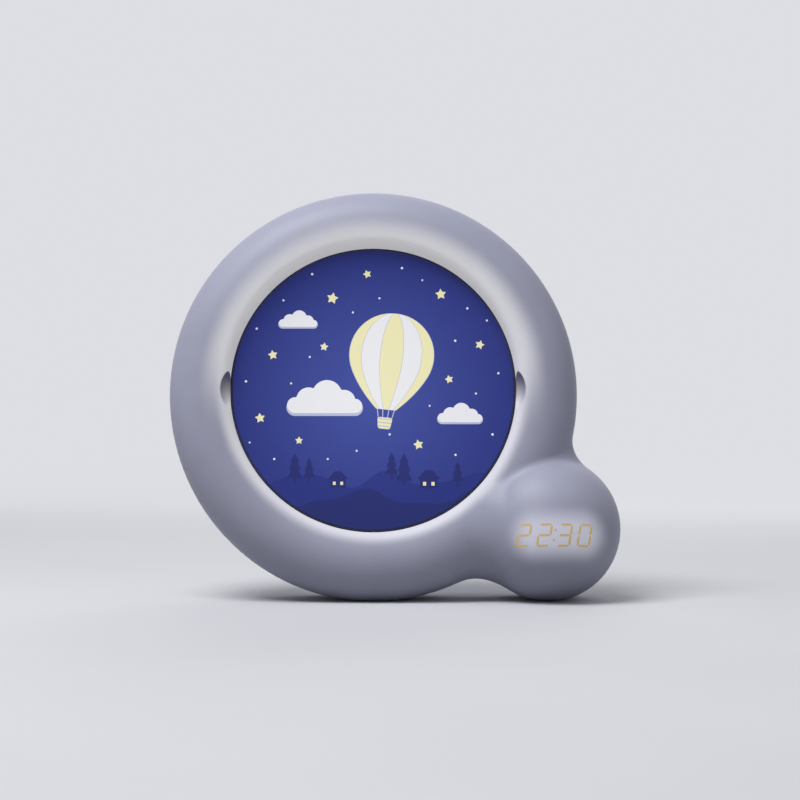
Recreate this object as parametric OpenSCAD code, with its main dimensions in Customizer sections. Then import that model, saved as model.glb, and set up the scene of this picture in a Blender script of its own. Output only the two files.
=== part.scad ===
// Children's alarm clock with a night light.
// A lit picture disc sits in a ring-shaped housing, and a ball at the lower right carries the time.
//
// The sub-parts are drawn in the face frame: X to the right, Y up the face, Z out of the face,
// with the origin on the ring's axis in the seam between the two housing shells.
// stand() then leans the clock back on its base, Z up, with the origin under its middle.
// All sizes are in millimetres.

/* [Ring] */
// Outer radius of the ring at the seam
ring_r = 100; // [97:1:103]
// Radius of the ring's rounded front section
tube_r = 20; // [19:0.5:21]
// Wall of both housing shells
wall = 2.4; // [2:0.1:2.8]
// Depth of the housing behind the seam
rear_depth = 40; // [40:1:44]
// Rounding of the housing's rear edge
rear_edge_r = 8; // [6:0.5:9]
// How far the ring's lower half is drawn down to stand level with the ball
base_drop = 1.8; // [1.2:0.1:2.4]
// Angle at which the clock leans back, which is also the draft of the rear housing
lean = 7; // [5:0.5:8]

/* [Ball] */
// Radius of the ball that carries the time
ball_r = 35.5; // [35:0.5:37]
// How far the middle of the ball lies outside the ring
ball_out = 7.8; // [7:0.2:9]
// Radius of the broad hollow that carries the ball into the ring's lower half
blend_r = 15; // [13:0.5:16]
// Radius of the crease between the ball and the ring's upper half, at the seam
crease_r = 12; // [10:0.5:14]
// Radius to which that crease tightens in front
crease_front_r = 2.2; // [2:0.2:4]
// Wall left in front of the digits
window_wall = 1.2; // [1:0.1:1.4]

/* [Picture disc] */
// Width of the ring's face round the disc that lifts out
ring_band = 31; // [30.8:0.1:31.5]
// Thickness of the disc
disc_t = 5; // [4.8:0.1:5.4]
// Free gap round the disc
disc_gap = 0.6; // [0.4:0.05:0.8]
// Height of the disc's face above the seam
disc_face = 9; // [9:0.1:9.6]
// How far the disc's middle lies above the ring's axis
disc_rise = 1; // [0:0.25:1.5]
// How far the ring's inner lip flares out from the disc's edge
lip_flare_w = 2; // [1.8:0.1:2.6]
// Rounding of the inner lip
lip_round = 2.4; // [1.8:0.1:2.8]
// Radius of the thumb scoops that free the disc's edge
scoop_r = 13; // [12:0.2:13.4]
// How far the scoops bite into the ring, measured from the disc's edge
scoop_bite = 4.6; // [4.2:0.2:5.4]

/* [Light] */
// Thickness of the opal sheet behind the disc
diffuser_t = 1.5; // [1.2:0.1:1.6]
// Depth of the white reflector bowl
bowl_depth = 16; // [14:0.5:16]
// Wall of the reflector bowl
bowl_wall = 1.2; // [1:0.1:1.4]
// Thickness of the circuit boards
board_t = 1.6; // [1:0.1:1.6]
// Number of lamps in each of the two colours
lamp_count = 6; // [4:1:8]

/* [Time display] */
// Height of one digit
digit_h = 11; // [10:0.2:11.4]
// Distance from one digit to the next
digit_pitch = 9.6; // [9.4:0.1:9.8]
// Slant of the digits in degrees
digit_slant = 9; // [6:1:10]
// How far the digits lie below the middle of the ball
display_drop = 5.2; // [4:0.2:6]

/* [Back cover] */
// Width that the back cover keeps outside the corners of the battery bay
cover_rim = 7.1; // [6.9:0.1:7.6]
// Thickness of the back cover
cover_t = 2; // [1.8:0.1:2.2]
// Gap round the back cover
cover_gap = 0.4; // [0.3:0.05:0.5]
// Distance between neighbouring buttons
button_pitch = 15; // [14:0.5:15]
// Radius of a button
button_r = 4.8; // [4.4:0.1:5]
// How far a button stands out of the cover
button_proud = 1.4; // [1:0.1:1.8]
// Travel of a button
button_travel = 0.6; // [0.4:0.1:0.6]
// Travel of the power slider
slider_travel = 4; // [3:0.5:4]
// Radius of the power socket's bore
socket_r = 2.9; // [2.85:0.05:3]
// Radius of the power socket's centre pin
socket_pin_r = 1; // [0.95:0.05:1.05]
// Radius of the loudspeaker
speaker_r = 14; // [13:0.5:14]

/* [Batteries] */
// Diameter of one cell
cell_d = 14.2; // [13.8:0.1:14.4]
// Length of one cell without its nub
cell_l = 49.2; // [48.8:0.1:49.4]
// Thickness of the battery door
door_t = 1.7; // [1.5:0.1:1.7]
// Gap round the battery door
door_gap = 0.35; // [0.3:0.05:0.5]

/* [Feet and screws] */
// How far the rubber feet stand out of the base
foot_proud = 0.5; // [0.4:0.1:0.8]
// Radius of the feet under the ring
ring_foot_r = 5; // [4.5:0.1:5.2]
// Radius of the feet under the ball
ball_foot_r = 3.6; // [3:0.1:3.8]
// Depth of the flats on which the feet sit
base_cut = 0.9; // [0.8:0.05:1.1]
// Radius of the housing screws
screw_r = 1.5; // [1.3:0.1:1.6]

/* [Hidden] */
$fn = 48;

// Clearances: between a screw and its hole, between fixed parts, and between moving parts
screw_fit = 0.05;
seat_fit = 0.15;
free_fit = 0.3;

// Where the ball lies, its lowest point level with the ring's
ball_reach = ring_r + ball_out;
ball_y = -(ring_r + base_drop - ball_r);
ball_x = sqrt(pow(ball_reach, 2) - pow(ball_y, 2));
ball_turn = atan2(ball_y, ball_x);

// Distances above the line from the ring's axis to the ball between which the hollow turns into
// the crease, and the height over which both tighten
crease_from = -12;
crease_to = 6;
crease_rise = 17;

// Distance from the ring's axis to the base plane, measured straight down
base_h = (ring_r + base_drop - base_cut) * cos(lean);

// Radius of the line round which the ring's front is rounded
tube_mid = ring_r - tube_r;

// Disc, with the bumps on its edge that steady it in its pocket
disc_r = ring_r - ring_band;
print_t = 0.2;
plate_t = 1.5;
frame_w = 3.4;
key_w = 5.6;
key_l = 4;
key_mid = disc_r - 4.2;
key_h = 1.4;
plate_z = disc_face - print_t - plate_t;
bump_r = 1.8;
bump_proud = 0.2;

// Picture pocket: its wall, the ledge under the disc and the point where the lip begins
pocket_r = disc_r + disc_gap;
ledge_z = disc_face - disc_t - free_fit;
ledge_t = 1.8;
ledge_w = 7.6;
ledge_r = pocket_r - ledge_w;
ledge_back_r = pocket_r + wall;
lip_r = disc_r + lip_flare_w;
lip_z = sqrt(pow(tube_r, 2) - pow(tube_mid - lip_r, 2));
lip_flare = (lip_r - pocket_r) / (lip_z - disc_face);

// Thumb scoops: balls whose middles lie level with the lip
scoop_x = disc_r + scoop_bite - scoop_r;
scoop_sink = 0.9;
scoop_z = lip_z - scoop_sink;

// Seam: the rear shell stands back by a hair, and a tongue of the front shell reaches into it
seam_step = 0.3;
tongue_mid = wall / 2;
tongue_h = 1.5;

// Rear edge: the rounding's middle, as depth and as distance in from the seam's outline
edge_z = -(rear_depth - rear_edge_r);
edge_in = seam_step + (-edge_z + rear_edge_r * sin(lean)) * tan(lean) + rear_edge_r * cos(lean);

// Size of the battery bay, and the back cover that is drawn round it
cell_pitch = 15;
bay_y = -25;
bay_w = cell_l + 7;
bay_h = 3 * cell_pitch;
bay_wall = 2.4;
cover_r = norm([bay_w / 2 + bay_wall, bay_h / 2 + bay_wall - bay_y]) + cover_rim;

// Back cover: its two faces, and the ledge it lies on
cover_z = -rear_depth;
cover_in = cover_z + cover_t;
cover_ledge_w = 5.5;
cover_ledge_r = cover_r + cover_gap - cover_ledge_w;
cover_ledge_t = 2;

// Heights of the parts inside, from the light box back to the control board
diffuser_z = ledge_z - ledge_t - diffuser_t;
bowl_z = diffuser_z - bowl_depth;
light_board_z = bowl_z - board_t;
board_gap = 7;
board_z = cover_in + board_gap;

// Radii of the light box, each one in from the disc's edge
post_r = 2.6;
diffuser_r = disc_r - 2.5;
bowl_seat_w = 5.5;
bowl_rim_r = diffuser_r - bowl_seat_w;
bowl_slope_w = 17;
bowl_floor_r = bowl_rim_r - bowl_slope_w;
light_board_r = bowl_floor_r - 4;
bowl_ear_ring = diffuser_r + post_r + 0.4;
bowl_ear_w = 13;
bowl_ear_h = 6.4;
bowl_ear_t = 1.5;
bowl_ear_z = diffuser_z - 6;

// Lamps: size of one, and the two circles that they stand on
lamp_w = 5;
lamp_h = 1.8;
night_circle = light_board_r * 0.7;
day_circle = light_board_r * 0.425;

// Battery bay: three cells side by side
bay_floor = cover_z + door_t + 0.5 + cell_d + 0.4;
cell_z = bay_floor - 0.3 - cell_d / 2;
cell_ys = [for (i = [-1:1]) bay_y + i * cell_pitch];
door_w = bay_w + 3;
door_h = bay_h + 2;
ear_w = 12;
ear_h = 7.4;
ear_y = bay_y + bay_h / 2 + 1.9;
door_screw_y = ear_y + 0.8;
door_screw_l = 4;
leaf_w = 8;
leaf_t = 0.5;
spring_h = 5.5;
contact_h = 5;
nub_r = 2.7;
nub_l = 1.3;
tab_xs = [-18, 18];
tab_w = 7;
tab_t = 1.2;

// Control board, clear of the bay, with a tab under the power slider
board_w = 94;
board_h = 24;
board_y = bay_y + bay_h / 2 + bay_wall + 3.6 + board_h / 2;
board_top = board_y + board_h / 2;
board_tab = [16, 15];
chip = [14, 10, 1.6];
driver = [6, 5, 1.4];
plug = [9, 4, 3.5];
can_r = 3.2;
can_h = 7;
can_xs = [22, 31];
lead_r = 0.6;

// Buttons: row height, the flange that keeps each one in, and its switch
button_y = board_y + 1;
button_flange_r = button_r + 1.3;
button_flange_t = 0.8;
button_stem_r = 1.6;
plunger_h = 0.8;
plunger_r = 1.7;
tact_w = 6;
stem_end = cover_in + 2.3;
plunger_tip = stem_end + button_travel + 0.1;
button_xs = [for (i = [0:5]) (i - 2.5) * button_pitch];

// Power slider and power socket
slider_spot = [board_w / 2 - 14, board_top + 7.5];
slider_w = 3;
slider_plate = [12, 6, 0.7];
slide_body = [13, 6, 4.6];
socket_spot = [-slider_spot[0], slider_spot[1]];
socket_body_r = 5.5;
socket_depth = 13;
pin_recess = 3;
pin_length = 9;

// Loudspeaker
speaker_spot = [0, board_top + speaker_r + 2];
speaker_depth = 12;
speaker_back = cover_in + speaker_depth;
basket_rim = 2;
basket_t = 1;
cup_r = 9.6;
cup_h = 5;
vent_r = 3;
coil_r = 4;
cone_t = 0.6;
slot_w = 18;
slot_h = 1.8;
slot_pitch = 4.4;
magnet_r = 8.4;
magnet_h = 4.2;

// Time display
display_x = ball_x + 1;
display_y = ball_y - display_drop;
block_w = 40;
block_h = 14;
block_z = ball_r - 19.5;
block_t = 7;
display_board_rim = 3;
digit_w = 6.6;
bar_t = 1.35;
bar_gap = 0.3;
window_w = block_w + 3;
window_h = block_h + 3;
ribbon_w = 8;
ribbon_t = 0.5;

// Screws
screw_head_r = screw_r * 2;
screw_head_h = 2.4;
screw_l = 26;
counterbore_z = -rear_depth * 0.4;
boss_r = screw_r + 3.5;
screw_ring = pocket_r + wall + boss_r + 3;
screw_turns = [20, 90, 160, 222, 278];
screw_spots = concat([for (a = screw_turns) screw_ring * [cos(a), sin(a)]],
                     [[ball_x, ball_y - ball_r + 18]]);
cover_screw_ring = cover_r - 3.1;
cover_screw_r = 1.1;
cover_screw_l = 6.5;
cover_boss_r = 2.5;
cover_boss_h = 7;
small_head_r = 2.1;
board_screw_r = 1;
board_screw_l = 7;
lamp_screw_l = 5;
board_head_r = 2;
board_head_h = 1.2;
post_in = 3.6;
bowl_ears = [for (a = [50, 170, 300]) bowl_ear_ring * [cos(a), sin(a)] + [0, disc_rise]];
board_posts = [for (x = [-1, 1], y = [-1, 1])
    [x * (board_w / 2 - post_in), board_y + y * (board_h / 2 - post_in)]];
light_posts = [for (a = [30, 150, 270]) (light_board_r - 4) * [cos(a), sin(a)] + [0, disc_rise]];
display_posts = [for (x = [-1, 1])
    [display_x + x * (block_w / 2 - 1), display_y + block_h / 2 + 2.2]];

// Feet: spots along the base, as position across and depth
ring_foot_spots = [[0, -7], [0, -29]];
ball_foot_spots = [[ball_x, -6], [ball_x, -29]];
foot_in = 1;

// Colours
shell_color = [0.79, 0.79, 0.85];
inner_color = [0.93, 0.93, 0.94];
board_color = [0.10, 0.42, 0.25];
black_color = [0.10, 0.10, 0.11];
steel_color = [0.72, 0.73, 0.75];
brass_color = [0.80, 0.66, 0.35];
rubber_color = [0.20, 0.20, 0.22];
sky_color = [0.30, 0.33, 0.62];
amber_color = [1.00, 0.62, 0.12];

// ---- The housing's form ----
// Each function below gives a distance that is negative inside the form and positive outside it.

// Joins two forms with a rounded hollow of radius r between them
function joined(a, b, r) = max(r, min(a, b)) - norm([max(r - a, 0), max(r - b, 0)]);

// Undoes the drop of the ring's lower half
function raised(y) = y < 0 ? y / (1 + base_drop / ring_r) : y;

// Blend of the ball into the ring: broad below, a tight crease above, and less of both in front
function eased(t) = pow(min(1, max(0, t)), 2) * (3 - 2 * min(1, max(0, t)));
function above_ball(x, y) = y * cos(ball_turn) - x * sin(ball_turn);
function blend_at(x, y, z) =
    let (crease = eased((above_ball(x, y) - crease_from) / (crease_to - crease_from)),
         front = eased(z / crease_rise))
    blend_r * (1 - 0.35 * front) * (1 - crease)
        + (crease_r + (crease_front_r - crease_r) * front) * crease;

// Ring and ball in front of the seam
function ring_form(x, y, z) = norm([norm([x, raised(y)]) - tube_mid, z]) - tube_r;
function ball_form(x, y, z) = norm([x - ball_x, y - ball_y, z]) - ball_r;
function front_form(x, y, z) = joined(ring_form(x, y, z), ball_form(x, y, z), blend_at(x, y, z));

// Outline of both at the seam, from which the rear shell is drawn
function outline(x, y) =
    joined(norm([x, raised(y)]) - ring_r, norm([x - ball_x, y - ball_y]) - ball_r, blend_at(x, y, 0));

// Plane on which the clock stands
function base_plane(y, z) = -(y * cos(lean) + z * sin(lean)) - base_h;

// Picture pocket, widening from the disc's face to the lip
function pocket_at(z) = pocket_r + max(0, z - disc_face) * lip_flare;
function pocket(x, y, z) = pocket_at(z) - norm([x, y - disc_rise]);

// Ball of a thumb scoop, on whichever side is nearer
function scoop(x, y, z) = scoop_r - norm([abs(x) - scoop_x, y, z - scoop_z]);

// Surface of the front shell, and of the hollow behind it
function front_skin(x, y, z) =
    max(-joined(-front_form(x, y, z), -pocket(x, y, z), lip_round), base_plane(y, z));
function front_hollow(x, y, z) =
    max(front_form(x, y, z) + wall, base_plane(y, z) + wall,
        pocket(x, y, z) + wall, scoop(x, y, z) + wall);

// Upright wall of either shell, a given distance in from the outline and from the base plane
function side_wall(x, y, z, inset, lift) = max(outline(x, y) + inset, base_plane(y, z) + lift);

// ---- Sections of the housing ----
// Sections stand round the ring's axis, closer together where the ball is and along the base.
function steps(from, to, step) = [for (i = [0:round((to - from) / step) - 1]) from + i * step];
stations = concat(steps(-112, -76, 3), steps(-76, -30, 2), steps(-30, -6, 1), steps(-6, 4, 2),
                  steps(4, 248, 4));

// Start of the rays of one section: the ring's tube middle, moved out where the ball is
function turn_from_ball(a) = abs((a - ball_turn + 540) % 360 - 180);
function ray_start(a) =
    tube_mid + 20 * pow(cos(min(90, turn_from_ball(a) * 90 / 26)), 2);

// Distance along a ray at which the form is left, found by halving
function front_cross(a, s, up, kind, near, far, n) =
    let (mid = (near + far) / 2,
         r = s + mid * cos(up),
         z = mid * sin(up),
         d = kind == "skin" ? front_skin(r * cos(a), r * sin(a), z)
                            : front_hollow(r * cos(a), r * sin(a), z))
    n == 0 ? mid
    : d > 0 ? front_cross(a, s, up, kind, near, mid, n - 1)
            : front_cross(a, s, up, kind, mid, far, n - 1);
function front_point(a, s, up, kind) =
    let (d = front_cross(a, s, up, kind, 0, 60, 20)) [s + d * cos(up), d * sin(up)];

// Radius at which a straight wall is met
function wall_cross(a, z, inset, lift, near, far, n) =
    let (mid = (near + far) / 2,
         d = side_wall(mid * cos(a), mid * sin(a), z, inset, lift))
    n == 0 ? mid
    : d > 0 ? wall_cross(a, z, inset, lift, near, mid, n - 1)
            : wall_cross(a, z, inset, lift, mid, far, n - 1);
function wall_point(a, z, inset, lift) =
    [wall_cross(a, z, inset, lift, ray_start(a) - 4, 160, 20), z];

// Radius from the ring's axis to a circle round the disc's middle
function round_disc(a, r) = disc_rise * sin(a) + sqrt(pow(r, 2) - pow(disc_rise * cos(a), 2));

// Section of the front shell: out along the skin, over the lip, down the pocket and back inside
function front_section(a) =
    let (s = ray_start(a),
         lip_up = atan2(lip_z, round_disc(a, lip_r) - s),
         foot_up = atan2(ledge_z, round_disc(a, pocket_r) - s),
         back_z = ledge_z - ledge_t,
         back_up = atan2(back_z, round_disc(a, ledge_back_r) - s),
         root = wall_point(a, 0, wall, wall))
    concat(
        [for (t = [0:15]) front_point(a, s, lip_up * 0.94 * t / 15, "skin")],
        [for (t = [-0.06, 0.1, 0.3]) front_point(a, s, lip_up + (t < 0 ? 0.4 * t * lip_up
                                                     : t * (foot_up - lip_up)), "skin")],
        [[round_disc(a, pocket_r), ledge_z],
         [round_disc(a, ledge_r), ledge_z],
         [round_disc(a, ledge_r), back_z],
         [round_disc(a, ledge_back_r), back_z]],
        [for (t = [5:-1:1]) front_point(a, s, back_up * t / 6, "hollow")],
        [root,
         [root[0], -tongue_h],
         wall_point(a, -tongue_h, tongue_mid, tongue_mid),
         wall_point(a, 0, tongue_mid, tongue_mid)]);

// Section of the rear shell: back along the inside to the cover's seat, and out over the rear edge
function rear_inset(z) = seam_step - z * tan(lean);
function edge_point(a, r, up) =
    wall_point(a, edge_z - r * sin(up), edge_in - r * cos(up), rear_edge_r - r);
function rear_section(a) =
    let (seat_r = cover_r + cover_gap,
         groove_in = tongue_mid - seat_fit,
         groove_z = -tongue_h - seat_fit)
    concat(
        [wall_point(a, 0, groove_in, groove_in),
         wall_point(a, groove_z, groove_in, groove_in),
         wall_point(a, groove_z, wall + rear_inset(groove_z), wall)],
        [for (t = [0:3]) edge_point(a, rear_edge_r - wall, lean + (90 - lean) * t / 3)],
        [[seat_r + wall, cover_z + wall],
         [seat_r + wall, cover_in + cover_ledge_t],
         [cover_ledge_r, cover_in + cover_ledge_t],
         [cover_ledge_r, cover_in],
         [seat_r, cover_in],
         [seat_r, cover_z]],
        [for (t = [4:-1:0]) edge_point(a, rear_edge_r, lean + (90 - lean) * t / 4)],
        [wall_point(a, edge_z / 2, rear_inset(edge_z / 2), 0),
         wall_point(a, 0, rear_inset(0), 0)]);

// Closed solid through a ring of sections
module swept(sections) {
    count = len(sections);
    n = len(sections[0]);
    points = [for (i = [0:count - 1]) for (p = sections[i])
        [p[0] * cos(stations[i]), p[0] * sin(stations[i]), p[1]]];
    faces = [for (i = [0:count - 1]) for (k = [0:n - 1])
        let (a = i * n + k,
             b = i * n + (k + 1) % n,
             c = ((i + 1) % count) * n + (k + 1) % n,
             d = ((i + 1) % count) * n + k)
        each [[a, b, c], [a, c, d]]];
    polyhedron(points, faces);
}

// ---- Helpers ----
// Leans the face frame back on the base and puts the origin under the middle of the clock
front_y = ball_y * sin(lean) - ball_r;
rear_y = (ring_r - edge_in) * sin(lean) - edge_z * cos(lean) + rear_edge_r;
module stand() {
    translate([-(ball_x + ball_r - ring_r) / 2, -(front_y + rear_y) / 2, base_h + foot_proud])
        rotate([90 - lean, 0, 0]) children();
}

// Places children on the base plane, upright
module on_base(spot) {
    translate([spot[0], -(base_h + spot[1] * sin(lean)) / cos(lean), spot[1]])
        rotate([lean - 90, 0, 0]) children();
}

// Flat shape with rounded corners
module rounded(w, h, r) {
    square([w - 2 * r, h], center = true);
    square([w, h - 2 * r], center = true);
    for (x = [-1, 1], y = [-1, 1]) translate([x * (w / 2 - r), y * (h / 2 - r)]) circle(r);
}

// Cylinder between two heights
module rod(r, from, to) {
    translate([0, 0, from]) cylinder(r = r, h = to - from);
}

// Slab between two heights, from the flat shape given
module slab(from, to) {
    translate([0, 0, from]) linear_extrude(to - from) children();
}

module at_each(spots) {
    for (p = spots) translate(p) children();
}

// Screw seen from its head: the head lies below z = 0, and the shank reaches up
module screw(r, length, head_r, head_h) {
    difference() {
        union() {
            cylinder(r = r, h = length);
            translate([0, 0, -head_h]) cylinder(r = head_r, h = head_h);
        }
        translate([0, 0, -head_h]) cube([head_r * 1.3, head_r * 0.28, head_h], center = true);
        translate([0, 0, -head_h]) cube([head_r * 0.28, head_r * 1.3, head_h], center = true);
    }
}

// ---- Housing ----
module front_shell() {
    color(shell_color) stand() difference() {
        union() {
            swept([for (a = stations) front_section(a)]);
            intersection() {
                at_each(screw_spots) rod(boss_r - 1.2, 0, ball_r);
                front_core();
            }
            at_each(bowl_ears) rod(post_r, bowl_ear_z + bowl_ear_t, ledge_z - ledge_t / 2);
            intersection() {
                at_each(display_posts) rod(post_r - 0.2, block_z, ball_r);
                translate([ball_x, ball_y, 0]) sphere(ball_r - wall / 2, $fn = 96);
            }
        }
        at_each(screw_spots) rod(screw_r + screw_fit, -1, counterbore_z + screw_l + 2);
        at_each(bowl_ears) rod(board_screw_r + screw_fit, bowl_ear_z, ledge_z - ledge_t);
        at_each(display_posts) rod(board_screw_r + screw_fit, block_z - 1, block_z + lamp_screw_l);
        for (x = [-scoop_x, scoop_x]) translate([x, 0, scoop_z]) sphere(scoop_r, $fn = 64);
        intersection() {
            translate([ball_x, ball_y, 0]) sphere(ball_r - window_wall, $fn = 96);
            translate([display_x, display_y]) slab(block_z, ball_r) rounded(window_w, window_h, 3);
        }
        translate([0, disc_rise - key_mid + 0.5]) slab(0, ledge_z + 0.1)
            square([key_w + 1.4, key_l + 2.4], center = true);
    }
}

// Space that the screw bosses may fill: under the ring's crest, or inside the ball
module front_core() {
    rotate_extrude($fn = 96) translate([tube_mid, 0]) circle(tube_r - wall / 2, $fn = 64);
    translate([ball_x, ball_y, 0]) sphere(ball_r - wall / 2, $fn = 96);
}

module rear_shell() {
    color(shell_color) stand() difference() {
        union() {
            swept([for (a = stations) rear_section(a)]);
            at_each(screw_spots) rod(boss_r, cover_z + wall / 2, 0);
            at_each(cover_screw_spots())
                rod(cover_boss_r, cover_in + cover_ledge_t / 2, cover_in + cover_boss_h);
        }
        at_each(screw_spots) rod(screw_r + 0.2, cover_z - 1, 1);
        at_each(screw_spots) rod(screw_head_r + 0.4, cover_z - 1, counterbore_z);
        at_each(cover_screw_spots())
            rod(cover_screw_r + screw_fit, cover_z, cover_in + cover_screw_l + 1.5);
        for (p = ring_foot_spots) on_base(p) rod(ring_foot_r + seat_fit, -3, foot_in);
        for (p = ball_foot_spots) on_base(p) rod(ball_foot_r + seat_fit, -3, foot_in);
    }
}

function cover_screw_spots() = [for (a = [45:90:315]) cover_screw_ring * [cos(a), sin(a)]];

module back_cover() {
    color(shell_color) stand() difference() {
        union() {
            rod(cover_r, cover_z, cover_in, $fn = 96);
            translate([0, bay_y]) slab(cover_in - 0.5, bay_floor + bay_wall / 2)
                rounded(bay_w + 2 * bay_wall, bay_h + 2 * bay_wall, 3);
            at_each(board_posts) rod(post_r, cover_in - 0.5, board_z);
            translate([0, door_screw_y]) rod(cover_screw_r + 2.1, cover_in - 0.5, board_z - 0.5);
            translate(speaker_spot) rod(speaker_r + 1.6, cover_in - 0.5, cover_in + 3);
        }
        translate([0, bay_y]) slab(cover_z + door_t + 0.3, bay_floor) square([bay_w, bay_h], center = true);
        translate([0, bay_y]) slab(cover_z - 1, cover_z + door_t + 0.3)
            rounded(door_w + 2 * door_gap, door_h + 2 * door_gap, 2);
        translate([0, ear_y]) slab(cover_z - 1, cover_z + door_t + 0.3)
            rounded(ear_w + 2 * door_gap, ear_h + 2 * door_gap, 2);
        translate([0, bay_y - door_h / 2]) for (x = tab_xs) translate([x, 0])
            slab(cover_z + door_t, cover_z + door_t + 3.4) square([tab_w + 1.4, 6.4], center = true);
        translate([0, door_screw_y]) rod(cover_screw_r + 0.6, cover_z - 1, board_z - 1.5);
        translate(speaker_spot) rod(speaker_r + seat_fit, cover_in, cover_in + 4);
        translate(speaker_spot) for (i = [-2:2]) translate([0, i * slot_pitch])
            slab(cover_z - 1, cover_in + 1) rounded(slot_w - 3 * abs(i), slot_h, slot_h / 2 - 0.02);
        for (x = button_xs) translate([x, button_y]) rod(button_r + free_fit, cover_z - 1, cover_in + 1);
        translate(slider_spot) slab(cover_z - 1, cover_in + 1)
            rounded(slider_w + slider_travel + 2 * free_fit, slider_w + 2 * free_fit, 0.6);
        translate(socket_spot) rod(socket_r + 1.7, cover_z - 1, cover_in + 1);
        at_each(board_posts) rod(board_screw_r + screw_fit, cover_in + 0.5, board_z + 1);
        at_each(cover_screw_spots()) rod(cover_screw_r + 0.3, cover_z - 1, cover_in + 1);
        at_each(cover_screw_spots()) rod(small_head_r + 0.3, cover_z - 1, cover_z + 1.3);
    }
}

module ring_feet() {
    color(rubber_color) stand() for (p = ring_foot_spots) on_base(p) rod(ring_foot_r, -foot_proud, foot_in);
}

module ball_feet() {
    color(rubber_color) stand() for (p = ball_foot_spots) on_base(p) rod(ball_foot_r, -foot_proud, foot_in);
}

// ---- Picture disc ----
module picture_print() {
    color(sky_color) stand() translate([0, disc_rise])
        rod(disc_r - 0.4, disc_face - print_t, disc_face, $fn = 96);
}

module picture_plate() {
    color(inner_color) stand() translate([0, disc_rise])
        rod(disc_r, plate_z, plate_z + plate_t, $fn = 96);
}

module disc_frame() {
    color(inner_color) stand() translate([0, disc_rise]) {
        difference() {
            rod(disc_r - 0.2, disc_face - disc_t, plate_z, $fn = 96);
            rod(disc_r - 0.2 - frame_w, disc_face - disc_t - 1, disc_face, $fn = 96);
        }
        translate([0, -key_mid]) slab(disc_face - disc_t - key_h, plate_z)
            square([key_w, key_l], center = true);
        for (a = [30, 150, 270]) rotate(a) translate([disc_r + bump_proud - bump_r, 0])
            rod(bump_r, disc_face - disc_t + 1, plate_z);
    }
}

// ---- Light box ----
module diffuser() {
    color([0.95, 0.95, 0.92]) stand() translate([0, disc_rise])
        rod(diffuser_r, diffuser_z, diffuser_z + diffuser_t, $fn = 96);
}

function lamp_spots(circle_r, turn) =
    [for (i = [0:lamp_count - 1]) circle_r * [cos(turn + i * 360 / lamp_count),
                                              sin(turn + i * 360 / lamp_count)] + [0, disc_rise]];

module light_bowl() {
    color(inner_color) stand() difference() {
        union() {
            translate([0, disc_rise]) rotate_extrude($fn = 96) polygon([
                [0, bowl_z], [bowl_floor_r + bowl_wall, bowl_z], [bowl_rim_r + bowl_wall, diffuser_z - 1.4],
                [diffuser_r, diffuser_z - 1.4], [diffuser_r, diffuser_z], [bowl_rim_r, diffuser_z],
                [bowl_floor_r, bowl_z + bowl_wall], [0, bowl_z + bowl_wall]]);
            for (p = bowl_ears) translate([0, disc_rise]) rotate(atan2(p[1] - disc_rise, p[0]))
                translate([bowl_ear_ring - 2.5, 0]) slab(bowl_ear_z, bowl_ear_z + bowl_ear_t)
                    rounded(bowl_ear_w, bowl_ear_h, 2);
            for (p = bowl_ears) translate([0, disc_rise]) rotate(atan2(p[1] - disc_rise, p[0]))
                translate([bowl_rim_r + 0.4, 0]) slab(bowl_ear_z, diffuser_z - 0.7)
                    square([3, bowl_ear_h], center = true);
            at_each(light_posts) rod(post_r, bowl_z, bowl_z + lamp_screw_l);
        }
        at_each(lamp_spots(night_circle, 0)) rod(lamp_w * 0.78, bowl_z - 1, bowl_z + bowl_wall + 1);
        at_each(lamp_spots(day_circle, 30)) rod(lamp_w * 0.78, bowl_z - 1, bowl_z + bowl_wall + 1);
        at_each(light_posts) rod(board_screw_r + screw_fit, bowl_z - 1, bowl_z + 4);
        at_each(bowl_ears) rod(board_screw_r + 0.2, bowl_ear_z - 1, bowl_ear_z + 2);
    }
}

module light_board() {
    color(board_color) stand() difference() {
        translate([0, disc_rise]) rod(light_board_r, light_board_z, bowl_z);
        at_each(light_posts) rod(board_screw_r + 0.2, light_board_z - 1, bowl_z + 1);
    }
}

module lamp() {
    translate([0, 0, bowl_z + lamp_h / 2]) cube([lamp_w, lamp_w, lamp_h], center = true);
    rod(lamp_w * 0.38, bowl_z + lamp_h, bowl_z + lamp_h + 0.3, $fn = 24);
}

module night_lamps() {
    color([0.75, 0.82, 1.0]) stand() at_each(lamp_spots(night_circle, 0)) lamp();
}

module day_lamps() {
    color([1.0, 0.93, 0.72]) stand() at_each(lamp_spots(day_circle, 30)) lamp();
}

// ---- Time display ----
// One bar of a digit, lying or standing, with pointed ends
module bar(at, length, lying) {
    t = bar_t / 2;
    l = length / 2;
    ends = [[-l, 0], [-l + t, t], [l - t, t], [l, 0], [l - t, -t], [-l + t, -t]];
    placed = [for (p = ends) at + (lying ? p : [p[1], p[0]])];
    polygon([for (p = placed) [p[0] + p[1] * tan(digit_slant), p[1]]]);
}

module digit() {
    w = digit_w - bar_t;
    h = digit_h - bar_t;
    for (y = [-h / 2, 0, h / 2]) bar([0, y], w - bar_gap, true);
    for (x = [-w / 2, w / 2], y = [-h / 4, h / 4]) bar([x, y], h / 2 - bar_gap, false);
}

module digit_guides() {
    color(amber_color) stand() intersection() {
        translate([display_x, display_y]) slab(block_z + block_t, ball_r) {
            for (i = [-1.5:1.5]) translate([i * digit_pitch, 0]) digit();
            for (y = [-2.4, 2.4]) translate([y * tan(digit_slant), y]) square(bar_t, center = true);
        }
        translate([ball_x, ball_y, 0]) sphere(ball_r - window_wall - seat_fit, $fn = 96);
    }
}

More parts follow.
